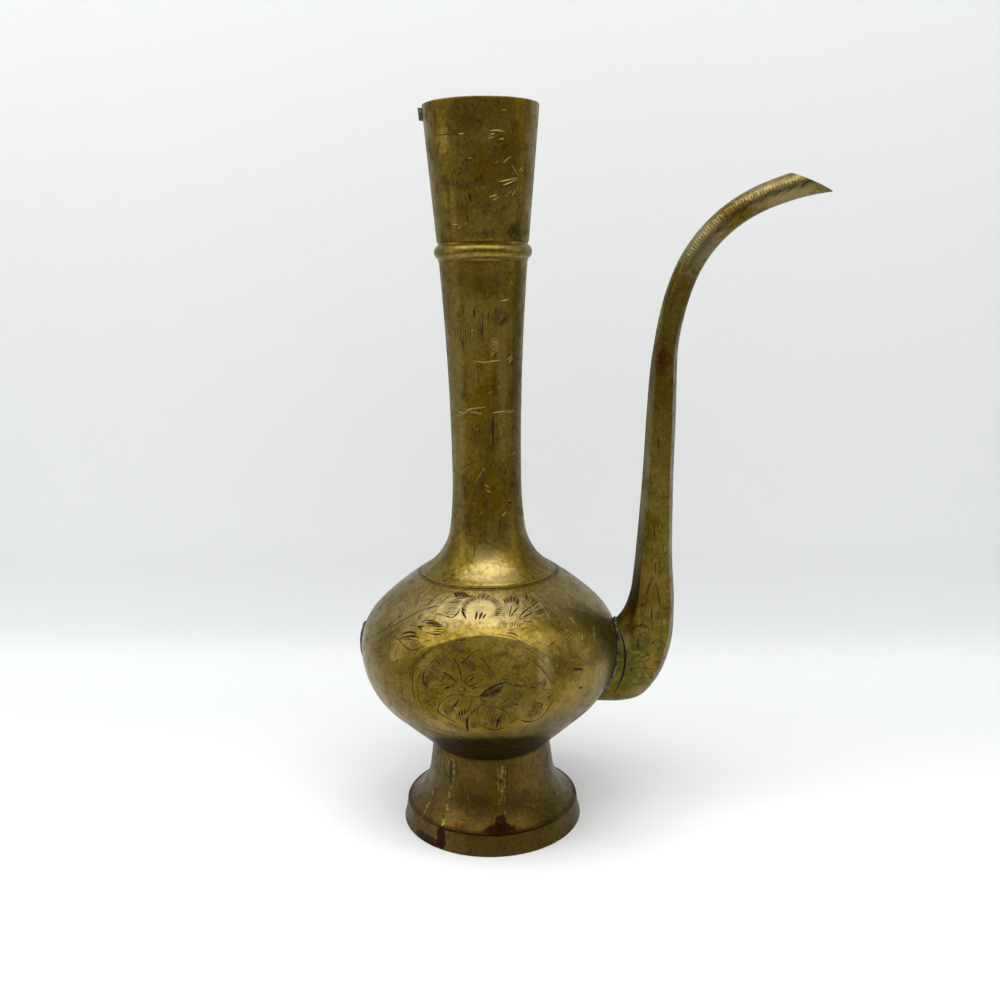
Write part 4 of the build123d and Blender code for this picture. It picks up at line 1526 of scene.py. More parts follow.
@dataclass
class Studio:
    """White table with a pale backdrop that curves up behind it, and soft lamps."""

    floor_front: float = -1400.0
    curve_start: float = 150.0
    curve_r: float = 60.0
    wall_top: float = 2200.0
    half_width: float = 1900.0
    near_table: Colour = (0.95, 0.95, 0.945)
    # The far table and the bend are painted darker, as painted shade; the table near the ewer is white.
    far_table_painted_shade: Colour = (0.78, 0.793, 0.787)
    bend: Colour = (0.70, 0.718, 0.71)
    low_wall: Colour = (0.79, 0.808, 0.8)
    high_wall: Colour = (0.92, 0.935, 0.925)
    dim: Colour = (0.22, 0.22, 0.22)
    wall_rise: Range = (0.0, 0.022)     # metres over which table, bend, wall and sides blend
    bend_rise: Range = (0.02, 0.075)
    light_rise: Range = (0.1, 0.75)
    table_run: Range = (0.12, -0.07)
    side_run: Range = (0.36, 0.62)
    front_turn: Range = (-0.35, -0.95)  # share of a direction over which the room's light changes
    above_turn: Range = (0.25, 0.8)
    room_sides: Colour = (0.45, 0.46, 0.48)
    room_front: Colour = (0.18, 0.172, 0.165)
    room_above: Colour = (0.72, 0.73, 0.75)
    lamps: tuple[Lamp, ...] = (
        Lamp("lamp_above", (-60, -330, 1050), (0, 0, 100), (1700, 650), 9.5),
        Lamp("lamp_left", (-900, -150, 500), (0, 0, 150), (500, 900), 1.6),
        Lamp("lamp_right", (950, 50, 450), (0, 0, 150), (500, 900), 1.4),
    )

    def sweep(self) -> Piece:
        """Return the table and backdrop as one smooth sheet."""
        clear_selection()
        bpy.ops.mesh.primitive_plane_add(size=1)
        sheet = started("paper_sweep")
        depth = self.curve_start - self.floor_front
        sheet.data.transform(Matrix.Translation((0, (self.floor_front + depth / 2) * MM, 0))
                             @ Matrix.Diagonal(Vector((2 * self.half_width * MM, depth * MM, 1, 1))))
        points = arc(Vector((self.curve_start, self.curve_r)), self.curve_r, -90, 0, 12.0)
        points.append(Vector((self.curve_start + self.curve_r, self.wall_top)))
        back = self.curve_start * MM - 1e-6
        with editing_edges(sheet, lambda first, second: min(first[1], second[1]) > back):
            for last, point in zip(points, points[1:]):
                move = Vector((0, point[0] - last[0], point[1] - last[1])) * MM
                bpy.ops.mesh.extrude_edges_move(TRANSFORM_OT_translate={"value": move})
        smooth(sheet)
        return sheet

    def paper(self) -> Metal:
        """Return the paper: grey on the wall, white near the ewer, with painted shade on the far table and in
        the bend, dim beside, clear from behind.
        """
        material, wiring, shader, coords = new_material("white_paper")
        shader.inputs["Roughness"].default_value = 0.9
        shader.inputs["Specular IOR Level"].default_value = 0.1
        split = wiring.node("ShaderNodeSeparateXYZ")
        wiring.feed(split.inputs[0], coords)
        wall = wiring.ranged(split.outputs[2], *self.wall_rise)
        near = wiring.ranged(split.outputs[1], *self.table_run)
        top = wiring.ranged(split.outputs[2], *self.light_rise)
        beside = wiring.ranged(wiring.math("ABSOLUTE", split.outputs[0]), *self.side_run)
        risen = wiring.ranged(split.outputs[2], *self.bend_rise)
        upright = wiring.mixed(top, rgba(self.low_wall), rgba(self.high_wall))
        # Painted shade: the far table is darker than the near one, and the bend is darker than the wall.
        colour = wiring.mixed(near, rgba(self.far_table_painted_shade), rgba(self.near_table))
        colour = wiring.mixed(wall, colour, wiring.mixed(risen, rgba(self.bend), upright))
        wiring.feed(shader.inputs["Base Color"], wiring.mixed(beside, colour, rgba(self.dim)))
        clear = wiring.node("ShaderNodeBsdfTransparent")
        blend = wiring.node("ShaderNodeMixShader")
        seen = wiring.node("ShaderNodeLightPath").outputs["Is Camera Ray"]
        behind = wiring.node("ShaderNodeNewGeometry").outputs["Backfacing"]
        wiring.feed(blend.inputs[0], wiring.scaled(seen, behind))
        wiring.feed(blend.inputs[1], shader.outputs[0])
        wiring.feed(blend.inputs[2], clear.outputs[0])
        wiring.feed(material.node_tree.nodes["Material Output"].inputs["Surface"], blend.outputs[0])
        return material

    def world(self) -> None:
        """Fill the room with soft light, darker behind the camera."""
        world = bpy.data.worlds.new("room")
        world.use_nodes = True
        wiring = Wiring(world.node_tree)
        background = world.node_tree.nodes["Background"]
        split = wiring.node("ShaderNodeSeparateXYZ")
        wiring.feed(split.inputs[0], wiring.node("ShaderNodeTexCoord").outputs["Generated"])
        front = wiring.ranged(split.outputs[1], *self.front_turn)
        colour = wiring.mixed(front, rgba(self.room_sides), rgba(self.room_front))
        above = wiring.ranged(split.outputs[2], *self.above_turn)
        wiring.feed(background.inputs[0], wiring.mixed(above, colour, rgba(self.room_above)))
        background.inputs[1].default_value = 1.0
        bpy.context.scene.world = world

    def build(self) -> None:
        """Set up paper, room, lamps and view."""
        self.sweep().data.materials.append(self.paper())
        self.world()
        for lamp in self.lamps:
            lamp.build()
        bpy.context.scene.view_settings.view_transform = "Standard"


# ---------------------------------------------------------------- what is engraved
def shoulder_drawing(art: Drawing) -> None:
    """Add the half rosette, the leaves and the buds of the shoulder."""
    art.hatch((467, 618, 466, 610, 471, 603, 480, 600, 489, 602, 495, 608, 493, 616), (462, 616, 461, 607,
              466, 599, 477, 594, 489, 594, 500, 601, 503, 609, 499, 616), 40, 0.4, 0.18)
    art.cut([(462, 607), (463, 613), (466, 619)], 0.75, 0.28)
    art.cut([(475.5, 620), (477, 611)], 0.9, 0.34)
    art.cut([(479, 619.5), (482.5, 611.5)], 0.95, 0.34)
    art.cut([(482.5, 619), (486, 613.5)], 0.75, 0.3)
    art.hatch((505, 605, 510, 603, 515, 604, 518, 606), (503, 599, 507, 595, 512, 593.5, 517, 596, 520, 601),
              13, 0.4)
    art.cuts((
        (0.5, 509, 617, 512, 605), (0.6, 510.5, 617, 515, 611, 519, 606),
        (0.7, 519, 617, 524, 612, 530, 607), (0.7, 523, 617, 528, 615, 532, 613),
        (0.45, 528, 609, 535, 604, 541, 600), (0.5, 531, 604, 535, 597), (0.42, 533, 610, 540, 605),
        (0.4, 534, 613, 542, 609), (0.4, 537, 615, 543, 612), (0.8, 526, 600, 527, 595),
        (0.5, 524, 621, 533, 622), (0.55, 548, 620, 553, 626, 559, 632),
        (0.45, 521, 631, 525, 628, 529, 628), (0.5, 508, 632, 514, 634, 519, 637),
        (0.35, 545, 603, 549, 612),
    ))
    # leaf to the left of the rosette
    art.hatch((453, 592, 458, 591, 464, 592), (456, 598, 462, 598, 470, 597), 9, 0.5, 0.24)
    art.hatch((444, 616, 444, 610, 447, 604, 452, 600), (456, 615, 459, 609, 461, 604, 464, 600), 11, 0.34,
              0.14)
    art.cuts((
        (0.6, 452, 600, 462, 598, 474, 595), (0.5, 464, 592, 470, 597, 475, 596),
        (0.7, 460, 608, 457, 614, 452, 618), (0.6, 445, 616, 449, 617, 453, 617.5),
        (0.4, 433, 614, 439, 614, 445, 616), (0.4, 427, 606, 432, 600, 438, 594),
        (0.45, 440, 603, 447, 598, 455, 592),
        (0.45, 366, 640, 383, 631, 400, 622, 412, 615, 425, 609, 436, 606),
        (0.7, 428, 609, 434, 606.5, 440, 606), (0.4, 371, 645, 384, 638, 396, 630, 406, 620),
        (0.5, 377, 607, 388, 600, 400, 594), (0.4, 384, 609, 389, 604, 394, 599),
        (0.5, 380, 611, 380.5, 605), (0.4, 399, 597, 404, 589), (0.4, 405, 602, 415, 596),
        (0.6, 367, 621, 372, 612), (0.4, 414, 609, 418, 601), (0.4, 375, 634, 388, 626, 398, 617),
        (0.35, 409, 590, 417, 582), (0.35, 392, 588, 402, 582), (0.35, 420, 600, 429, 592),
    ))
    art.hatch((385, 612, 392, 607, 400, 604), (389, 606, 397, 601, 405, 598), 6, 0.35)
    art.hatch((396, 620, 399, 611), (402, 617, 405, 608), 6, 0.38)
    # two buds
    art.hatch((424, 622, 430, 621, 436, 623), (430, 625, 437, 626, 443, 627), 9, 0.36)
    art.hatch((408, 642, 420, 642), (412, 649, 424, 647), 6, 0.4)
    art.cuts((
        (0.6, 421, 622.5, 428, 620, 436, 622, 443, 626), (0.7, 430, 625.5, 437, 626.5, 444, 627),
        (0.5, 434, 629.5, 446, 629.5), (0.45, 433, 631.5, 443, 631.5),
        (0.6, 425, 632, 433, 634, 440, 634, 447, 630), (0.75, 417, 627, 421, 626.5, 425, 626),
        (0.5, 416, 625.5, 420, 628, 422.5, 631), (0.5, 409, 626, 416, 626),
        (0.95, 401, 634.5, 406, 632.5, 411, 632, 417, 634), (0.85, 404, 637.5, 411, 636, 418, 637),
        (0.6, 414, 634, 419, 639), (0.45, 401, 639, 410, 639.5, 419, 641),
        (0.55, 394, 636, 400, 641, 405, 647, 412, 650, 418, 649, 425, 645), (0.5, 391, 635.5, 396, 638),
    ), 0.2, 0.3, 0.8)


def flower_drawing(art: Drawing) -> None:
    """Add the five-petalled flower on the panel."""
    art.hatch((424, 683, 423.5, 676, 427, 667, 433, 660, 439, 657, 447, 656), (429, 689, 430, 683, 437, 680,
              442, 671, 447, 665, 453, 663), 16, 0.5, 0.2)
    art.hatch((461, 665, 463, 668, 467, 670, 472, 672), (467, 656, 471, 658, 475, 661, 480, 666), 8, 0.5,
              0.24)
    art.hatch((484, 664, 489, 671, 492, 677), (479, 668, 483, 675, 485, 681), 9, 0.3, 0.13)
    art.hatch((441, 706, 450, 703), (447, 716, 457, 713), 7, 0.32, 0.13)
    art.cuts((
        (0.6, 427, 667, 423, 676, 424, 684, 432, 690), (0.4, 430, 664, 437, 657.5),
        (0.5, 452, 657, 457, 663, 460, 671, 461, 681), (0.55, 461, 664, 466, 659, 474, 652, 481, 650),
        (0.45, 476, 655, 484, 661, 490, 670, 496, 678), (0.5, 459, 687, 462, 686, 465, 689, 465, 693),
        (0.5, 465, 693, 462, 695.5, 459, 692, 459, 687.5), (0.4, 461.5, 689, 463, 691, 461.5, 693),
        (0.75, 442, 672, 450, 676, 457, 683), (0.65, 445, 675.5, 452, 681),
        (1.1, 444, 688.5, 447, 688, 451, 686.5), (0.5, 436, 677.5, 441, 676), (0.4, 437, 685, 447, 684.5),
        (0.6, 451, 686.5, 456, 685), (0.65, 464, 684, 468, 677, 475, 673.5),
        (0.55, 466, 684.5, 471, 680, 475, 674.5), (0.4, 462, 683, 462, 675),
        (0.55, 467, 687, 472, 685.5, 478, 683), (0.75, 472, 689, 477, 687),
        (0.65, 446, 698, 452, 695, 459, 694.5), (0.95, 459, 700, 456, 704, 452, 707.5),
        (0.6, 433, 706, 437, 704), (0.8, 459, 711, 459.5, 717), (0.8, 462, 709.5, 462.3, 716),
        (0.7, 465, 709, 464.8, 715), (0.42, 446, 698, 440, 703, 438, 711, 444, 717),
        (0.36, 440, 713, 449, 719, 456, 722), (0.5, 466, 696, 472, 700, 470, 707, 466, 714),
        (0.6, 468, 694.5, 474, 697, 479, 697), (0.35, 432, 692, 441, 694), (0.35, 430, 699, 437, 698),
    ), 0.2, 0.3, 0.7)


def panel_drawing(art: Drawing) -> None:
    """Add the dark leaf, the border and the small marks of the panel."""
    art.hatch((483, 693.5, 491, 688.5, 499, 685), (486, 689, 494, 684.5, 502, 681), 9, 0.5, 0.24)
    art.hatch((482, 694.5, 490, 690, 499, 686, 504, 684), (480, 698.5, 487, 698, 495, 696, 500, 692), 13,
              0.62, 0.28)
    art.hatch((449, 648, 453, 652, 459, 655), (457, 643, 461, 646, 467, 650), 7, 0.4)
    art.hatch((526, 716, 530, 708, 536, 701), (531, 718, 537, 711, 543, 704), 8, 0.42, 0.18)
    art.hatch((455, 663, 461, 655), (460, 667, 467, 660), 3, 0.35)
    art.hatch((483, 724, 492, 727, 504, 725), (487, 710, 496, 710, 507, 715), 9, 0.3, 0.12)
    art.hatch((470, 728, 480, 727), (471, 719, 480, 718), 5, 0.4, 0.16)
    art.hatch((505, 700, 521, 700), (511, 690, 527, 691), 8, 0.28, 0.11)
    art.cuts((
        (0.75, 478, 697.5, 485, 692, 493, 687.5, 501, 684, 508, 682), (0.5, 478, 698, 484, 701, 491, 702.5),
        (0.4, 479, 701, 486, 703.5), (0.65, 500, 680, 508, 679.5), (0.65, 480, 705.5, 486, 704.3, 493, 704),
        (0.65, 508, 705.5, 514, 705, 519, 704.5), (0.5, 479, 706, 477.5, 711, 478, 717),
        (0.45, 468, 716, 474, 711, 479, 707), (0.45, 506, 683, 515, 686, 527, 686, 536, 688),
        (0.85, 514, 686, 520, 685.5), (0.75, 530, 687, 536, 687.5),
        (0.4, 531, 661, 539, 666.5, 546, 674.5, 550.5, 683),
        (0.45, 554, 694, 552, 702, 547, 710, 541, 717, 534, 721, 524, 722),
        (0.75, 521, 720, 527, 722, 535, 721), (0.4, 553, 695, 546, 698), (0.65, 540, 709, 543, 703),
        (0.5, 534, 716, 538, 710), (0.42, 414, 669, 412.5, 680, 413, 692, 416, 703, 421, 710),
        (0.38, 417, 686, 418.5, 697, 421.5, 705, 424, 711), (1.1, 468, 716, 467, 723, 468, 731),
        (0.85, 501, 716, 498, 722, 496, 728), (0.42, 481, 709, 489, 706, 499, 708, 507, 713, 512, 721),
        (0.42, 481, 724, 489, 729, 500, 729, 508, 725), (0.5, 447, 649, 455, 642, 463, 640, 471, 641),
        (0.5, 431, 726, 444, 731, 456, 733), (0.4, 484, 722, 489, 726), (0.4, 508, 724, 516, 719),
    ), 0.2, 0.3, 0.7)
    art.cut([(533, 660.5), (541, 666), (548, 674), (552, 682), (554, 689)], 0.45, 0.16, Look.BRIGHT)
    art.cut([(520, 715), (523, 708), (527, 702)], 0.6, 0.18, Look.BRIGHT)
    art.scatter((488, 642), (545, 702), 34, 6, Look.BRIGHT, -40, 50)
    art.scatter((486, 642), (550, 725), 64, 6, Look.DIRT, 20, 120)
    art.scatter((415, 655), (480, 728), 64, 5, Look.DIRT, 20, 140)
    art.hatches((
        (4, 452, 672, 446, 668, 458, 668, 452, 664), (7, 492, 660, 506, 656, 496, 652, 510, 649),
        (8, 510, 672, 526, 668, 515, 664, 530, 661), (8, 422, 700, 430, 714, 428, 697, 437, 711),
        (5, 424, 694, 434, 700, 427, 690, 437, 696), (6, 488, 722, 500, 724, 492, 715, 504, 717),
        (6, 455, 720, 466, 724, 457, 714, 468, 717), (7, 534, 690, 546, 686, 537, 681, 548, 678),
        (6, 500, 712, 512, 708, 504, 704, 516, 701), (7, 446, 726, 462, 731, 448, 721, 464, 726),
    ), 0.3, 0.12)


def body_drawing() -> Drawing:
    """Return the engraving of shoulder and front panel."""
    art = Drawing(seed=11)
    shoulder_drawing(art)
    flower_drawing(art)
    panel_drawing(art)
    art.scatter((552, 596), (610, 672), 44, 5, Look.BRIGHT, 70, 110)
    art.scatter((366, 596), (430, 700), 44, 7, Look.DIRT, 30, 90)
    # A bright cut along the panel's upper right edge, a painted highlight on the crease.
    art.cut([(492, 634), (508, 636), (522, 642), (535, 652), (545, 664), (551, 677)], 0.55, 0.14, Look.BRIGHT)
    art.hatches((
        (6, 378, 628, 392, 618, 374, 620, 388, 611), (6, 404, 612, 420, 604, 402, 605, 417, 598),
        (5, 396, 604, 410, 596, 393, 598, 406, 590), (7, 540, 612, 556, 620, 545, 605, 560, 613),
        (6, 556, 632, 570, 642, 562, 626, 576, 636), (5, 508, 627, 520, 629, 510, 621, 522, 622),
        (6, 566, 610, 578, 620, 571, 604, 583, 614),
    ), 0.3, 0.12)
    art.scatter((545, 590), (608, 660), 22, 6, Look.DIRT, 40, 130)
    art.scatter((500, 625), (560, 650), 12, 6, Look.DIRT, 0, 120)
    art.cuts((
        (1.0, 573, 669.5, 579, 669, 583, 670), (1.3, 579, 687.5, 582, 688),
    ), 0.35)
    return art


def neck_drawing() -> Drawing:
    """Return the engraving of the neck."""
    art = Drawing(seed=23)
    bright = Look.BRIGHT
    art.hatch((491, 337, 490, 345, 490, 355), (498.5, 336, 499, 343, 500, 350), 7, 0.3, 0.12, bright)
    art.cuts((
        (0.5, 500, 301, 505, 300, 509, 299), (0.6, 474, 361, 485, 362, 500, 360), (0.5, 507, 360, 513, 355),
        (0.4, 508, 363, 513, 358), (0.5, 455, 409, 463, 413, 468, 412),
        (0.5, 455, 417, 462, 414, 470, 409, 485, 407), (0.7, 470, 412, 476, 413, 482, 414),
        (0.35, 466, 402, 465, 411), (0.65, 503, 412, 510, 412, 516, 411),
        (0.4, 492, 413, 503, 411, 515, 410), (0.45, 474, 484, 479, 476, 484, 469), (0.4, 484, 484, 489, 487),
        (0.45, 485, 489, 491, 492.5), (0.45, 508, 480, 507, 487, 506, 494), (0.45, 512, 455, 516, 451),
        (0.4, 497, 522, 494, 537), (0.35, 502, 516, 507, 511), (0.35, 499, 512, 503, 506),
    ), 0.15, look=bright)
    art.hatch((490, 322, 494, 326, 499, 327, 505, 322), (496, 307, 501, 306, 506, 308, 509, 314), 10, 0.38,
              0.15)
    art.hatch((499, 327, 508, 325), (500, 321, 509, 318), 5, 0.45, 0.2)
    art.hatch((461, 477, 461, 488, 463, 502), (468, 469, 468, 481, 470, 495), 10, 0.45, 0.18)
    art.cuts((
        (0.45, 489, 311, 488.5, 318, 490, 325), (0.8, 474, 309, 474.3, 318),
        (0.5, 460, 333, 462, 342, 463, 351), (0.35, 483, 312, 482, 330, 483, 346),
        (0.6, 492, 419, 491, 427, 489.5, 434), (0.85, 493.5, 416, 493, 432, 493, 447),
        (0.6, 497, 419, 497.5, 430, 498, 440), (0.4, 461, 470, 466, 466, 474, 462),
        (0.6, 472, 502, 477, 500), (0.7, 478, 509, 478, 513), (0.5, 486, 503, 488, 511),
        (0.6, 507, 462, 511, 468), (0.6, 506, 470, 505, 478), (0.9, 508, 503, 512, 502.5),
        (0.5, 462, 520, 462, 530), (0.5, 464, 533, 469, 536, 474, 537), (0.5, 475, 545, 474, 557),
        (0.35, 478, 372, 479, 384), (0.35, 470, 300, 466, 290), (0.35, 482, 300, 486, 290),
        (0.8, 513, 470, 513.5, 477), (0.35, 455, 413, 462, 409),
    ), 0.18, 0.28, 0.7)
    art.hatch((484, 500, 490, 492), (482, 510, 488, 502), 4, 0.4)
    art.hatches((
        (8, 455, 346, 463, 354, 471, 350, 454, 328, 463, 318, 472, 324),
        (5, 456, 322, 464, 316, 457, 308, 465, 302), (3, 478, 340, 484, 346, 477, 324, 484, 320),
    ), 0.26, 0.14)
    art.hatches((
        (7, 472, 498, 478, 503, 484, 499, 473, 480, 479, 470, 485, 474),
        (8, 500, 496, 507, 501, 514, 496, 500, 470, 507, 458, 514, 466),
    ), 0.36, 0.14)
    art.hatches((
        (5, 463, 530, 470, 536, 464, 512, 471, 516), (5, 478, 538, 486, 540, 478, 518, 486, 520),
        (6, 498, 536, 508, 532, 499, 514, 509, 512),
    ), 0.34, 0.14)
    art.hatches((
        (4, 470, 440, 480, 446, 472, 424, 481, 428), (4, 503, 440, 511, 436, 502, 426, 510, 423),
        (4, 461, 400, 468, 404, 459, 388, 466, 390), (4, 486, 456, 494, 452, 488, 444, 495, 441),
    ), 0.3, 0.14)
    art.scatter((450, 265), (520, 400), 26, 6, Look.DIRT, 85, 60)
    art.scatter((450, 400), (520, 545), 34, 6, Look.DIRT, 80, 90)
    art.scatter((450, 265), (520, 545), 22, 5, Look.BRIGHT, 70, 120)
    return art


def mouth_drawing() -> Drawing:
    """Return the engraving of the mouth."""
    art = Drawing(seed=31)
    bright = Look.BRIGHT
    art.hatch((446, 184, 452, 190, 463, 190, 475, 186, 483, 180), (451, 174, 459, 180, 467, 181, 476, 177,
              483, 172), 15, 0.48, 0.2)
    art.hatch((449, 176, 458, 176, 468, 172, 480, 168), (454, 168, 462, 168, 472, 163, 482, 160), 10, 0.36,
              0.14)
    art.hatch((440, 160, 443, 166, 447, 170), (450, 145, 454, 151, 459, 156), 5, 0.36, 0.14)
    art.hatch((460, 150, 470, 148), (463, 141, 474, 139), 5, 0.32, 0.12)
    art.hatch((499, 199, 508, 200, 516, 198), (497, 195, 507, 195, 516, 193), 7, 0.38, 0.14)
    art.hatches((
        (6, 446, 142, 458, 138, 449, 130, 461, 127), (7, 462, 168, 476, 160, 464, 158, 477, 150),
        (5, 494, 160, 502, 154, 497, 168, 506, 162), (6, 500, 152, 512, 146, 503, 145, 515, 140),
        (5, 506, 176, 516, 172, 503, 170, 513, 165), (6, 440, 178, 443, 192, 447, 174, 450, 188),
        (5, 452, 206, 462, 212, 454, 198, 464, 204), (5, 500, 212, 510, 208, 502, 204, 512, 201),
        (5, 516, 156, 526, 150, 518, 148, 528, 143),
    ), 0.3, 0.13)
    art.cuts((
        (0.45, 438, 136, 445, 134.5, 456, 134), (0.5, 440, 141, 438, 149, 437, 157),
        (0.9, 469, 193, 470, 198, 472, 202), (0.55, 466, 202, 467, 213, 468, 225), (0.4, 462, 203, 463, 208),
        (0.55, 492, 150, 498, 146, 503, 142), (0.6, 494, 151, 496, 165), (0.9, 517, 180, 510, 185, 503, 189),
        (0.55, 514, 192, 507, 195), (0.6, 520, 200, 518, 215), (0.8, 513, 128, 513.4, 132),
        (0.7, 525, 123, 524.5, 127), (1.5, 478, 120.5, 478.8, 122), (1.2, 498, 101.5, 498.6, 102.6),
        (1.4, 430, 102.5, 430.4, 104), (0.9, 515, 228, 519, 234),
    ), 0.2, 0.32, 0.8)
    art.cuts((
        (0.5, 490, 130.5, 497, 130, 505, 131.5), (0.45, 490, 134, 495, 133.3), (0.45, 488, 138.5, 494, 136),
        (0.45, 499, 139, 504, 138.3), (0.4, 503, 163, 507, 159, 511, 156),
        (0.45, 512, 165, 515, 170, 518, 175), (0.4, 519, 171, 523, 166.5), (0.4, 521, 172, 524, 169),
        (0.55, 518, 177.5, 508, 179.5, 500, 181.5), (0.45, 518, 179, 511, 182, 503, 185),
        (0.5, 489, 197, 493, 195.5, 497, 195), (0.45, 493, 200, 499, 196.5), (0.45, 512, 195, 516, 189),
        (0.4, 507, 196, 512, 190), (0.5, 518, 182, 518.5, 193, 516, 205, 512, 219, 509, 230),
        (0.4, 521, 184, 521, 196, 519, 206),
    ), 0.15, look=bright)
    art.scatter((434, 110), (530, 236), 26, 6, Look.DIRT, 60, 120)
    art.scatter((434, 110), (530, 236), 16, 5, Look.BRIGHT, 60, 120)
    return art


def spout_drawing() -> Drawing:
    """Return the engraving of the spout."""
    art = Drawing(seed=47)
    art.cuts((
        (0.5, 809, 180, 805, 184, 801, 188), (0.5, 797, 184, 792, 188, 786, 193),
        (0.5, 782, 190, 778, 193, 774, 197), (0.5, 770, 191.5, 765, 197, 760, 203),
        (0.5, 754, 199, 748, 206, 742, 213), (0.5, 736, 211, 732, 217, 729, 223), (0.5, 719, 228, 716, 234),
    ), 0.24)
    art.hatch((682, 262, 694, 242, 712, 221, 736, 203, 762, 190, 800, 178), (686, 265, 698, 246, 716, 225,
              739, 207, 764, 194, 800, 182), 44, 0.34, 0.13)
    art.hatch((770, 187, 790, 180, 808, 178), (771, 184, 791, 177, 809, 175.5), 13, 0.32, 0.12, Look.BRIGHT)
    art.hatch((668, 300, 675, 280), (674, 301, 681, 282), 7, 0.34, 0.12)
    art.hatch((631, 634, 634, 629, 641, 627, 647, 629), (630, 631, 634, 625.5, 641, 623.5, 648, 626), 12, 0.5,
              0.2)
    art.hatch((646, 602, 648, 590, 653, 579), (643.5, 600, 645.5, 588, 651, 577), 9, 0.42, 0.16)
    art.cuts((
        (0.9, 619, 628, 624, 645, 625, 662, 621, 680, 614, 693),
        (0.65, 653, 577, 648, 590, 646, 600, 644, 614), (0.6, 655, 582, 658, 592, 659.5, 602, 660, 608),
        (0.42, 660, 608, 658.5, 617), (0.5, 652, 606, 651.5, 616, 652, 626), (0.45, 655, 562, 656, 575),
        (0.4, 659, 560, 660, 568), (0.5, 638, 637, 637, 648), (0.5, 640, 658, 645, 656, 650, 654),
        (0.5, 645, 662, 650, 658), (0.4, 648, 632, 650, 627), (0.4, 636, 650, 640, 643),
        (0.4, 643, 668, 652, 669), (0.35, 654, 520, 655, 545), (0.35, 658, 430, 659, 455),
        (1.7, 642, 604.5, 643, 606), (2.0, 630.5, 669, 632, 670), (1.3, 652, 642, 653, 643),
        (1.2, 651, 677, 652.5, 678), (1.0, 633, 684, 634.5, 685), (0.9, 661, 641, 662.5, 641.5),
    ), 0.2, 0.35, 0.8)
    art.scatter((640, 380), (664, 570), 22, 7, Look.DIRT, 88, 30)
    art.scatter((642, 380), (668, 640), 18, 6, Look.BRIGHT, 88, 50)
    art.scatter((624, 625), (662, 690), 22, 5, Look.DIRT, 60, 140)
    return art


def foot_runs() -> Drawing:
    """Return the flux that ran down the foot, as low broken ridges."""
    art = Drawing(seed=59)
    runs = (
        ([(499.5, 762), (498.5, 776), (499, 792), (500, 806)], 1.5, 0.32, 9),
        ([(505, 763), (505, 778), (504.6, 795), (504.6, 815)], 1.2, 0.32, 8),
        ([(502, 762), (501.5, 776), (502, 790), (502.5, 806)], 2.2, 0.2, 7),
        ([(448.6, 755), (448.2, 768), (448, 786)], 1.6, 0.28, 6),
        ([(454, 756), (453.8, 770), (452.8, 790), (451, 808)], 1.5, 0.28, 8),
        ([(450.5, 786), (448, 800), (445, 814), (442, 826)], 2.8, 0.2, 9),
        ([(438.6, 750), (438, 764), (436.4, 778), (434.5, 790)], 1.0, 0.22, 7),
        ([(434.5, 788), (431, 799), (426, 809), (421.5, 818)], 1.5, 0.24, 7),
    )
    for points, width, depth, parts in runs:
        path = curve(points, 1.0)
        for part in range(parts):
            start = (part + art.hand.uniform(-0.25, 0.15)) / parts
            end = (part + art.hand.uniform(0.85, 1.3)) / parts
            shares = (max(0.0, start), (max(0.0, start) + min(1.0, end)) / 2, min(1.0, end))
            shift = Vector((art.hand.uniform(-0.6, 0.6), 0))
            art.cut([along(path, share) + shift for share in shares], width * art.hand.uniform(0.55, 1.15),
                    depth * art.hand.uniform(0.6, 1.2), Look.FLUX, raised=True)
    return art


def foot_marks() -> Drawing:
    """Return the dark scale and scars on the foot."""
    art = Drawing(seed=67)
    art.cuts((
        (1.5, 451.6, 760, 451.2, 774, 450.6, 784), (0.7, 437.6, 786, 433, 798, 427.5, 809, 423, 817),
        (1.0, 463, 789, 463.6, 791), (0.4, 441, 752, 440.4, 768, 438.6, 782),
        (0.4, 456.6, 757, 456.4, 774, 455, 794), (0.45, 496, 761, 496.2, 776, 497, 790),
        (0.45, 507.4, 761, 507.2, 778, 506.6, 798), (0.8, 501, 778, 501.4, 783), (0.6, 460, 818, 466, 821),
        (0.4, 530, 806, 534, 812), (0.4, 476, 800, 479, 808),
    ), 0.16)
    art.scatter((430, 770), (560, 822), 30, 6, Look.DIRT, 80, 70)
    art.scatter((430, 770), (560, 822), 14, 5, Look.BRIGHT, 80, 90)
    return art


def cut_looks(effects: Effects) -> list[Metal]:
    """Return the finishes of cuts in the order of Look, after the piece's own metal."""
    return [
        DullCrust("groove_dirt", (0.10, 0.07, 0.012), (0.03, 0.019, 0.003), 0.75, 0.45).build(effects),
        AgedBrass("groove_bright", (0.30, 0.225, 0.08), (0.22, 0.16, 0.045), (0.13, 0.09, 0.02),
                  0.4, 0.3).build(effects),
        DullCrust("flux_crust", (0.20, 0.15, 0.022), (0.06, 0.04, 0.004), 0.75, 0.34, 4.0).build(effects),
        DullCrust("black_scale", (0.03, 0.018, 0.006), (0.012, 0.006, 0.003), 0.6, 0.5).build(effects),
    ]


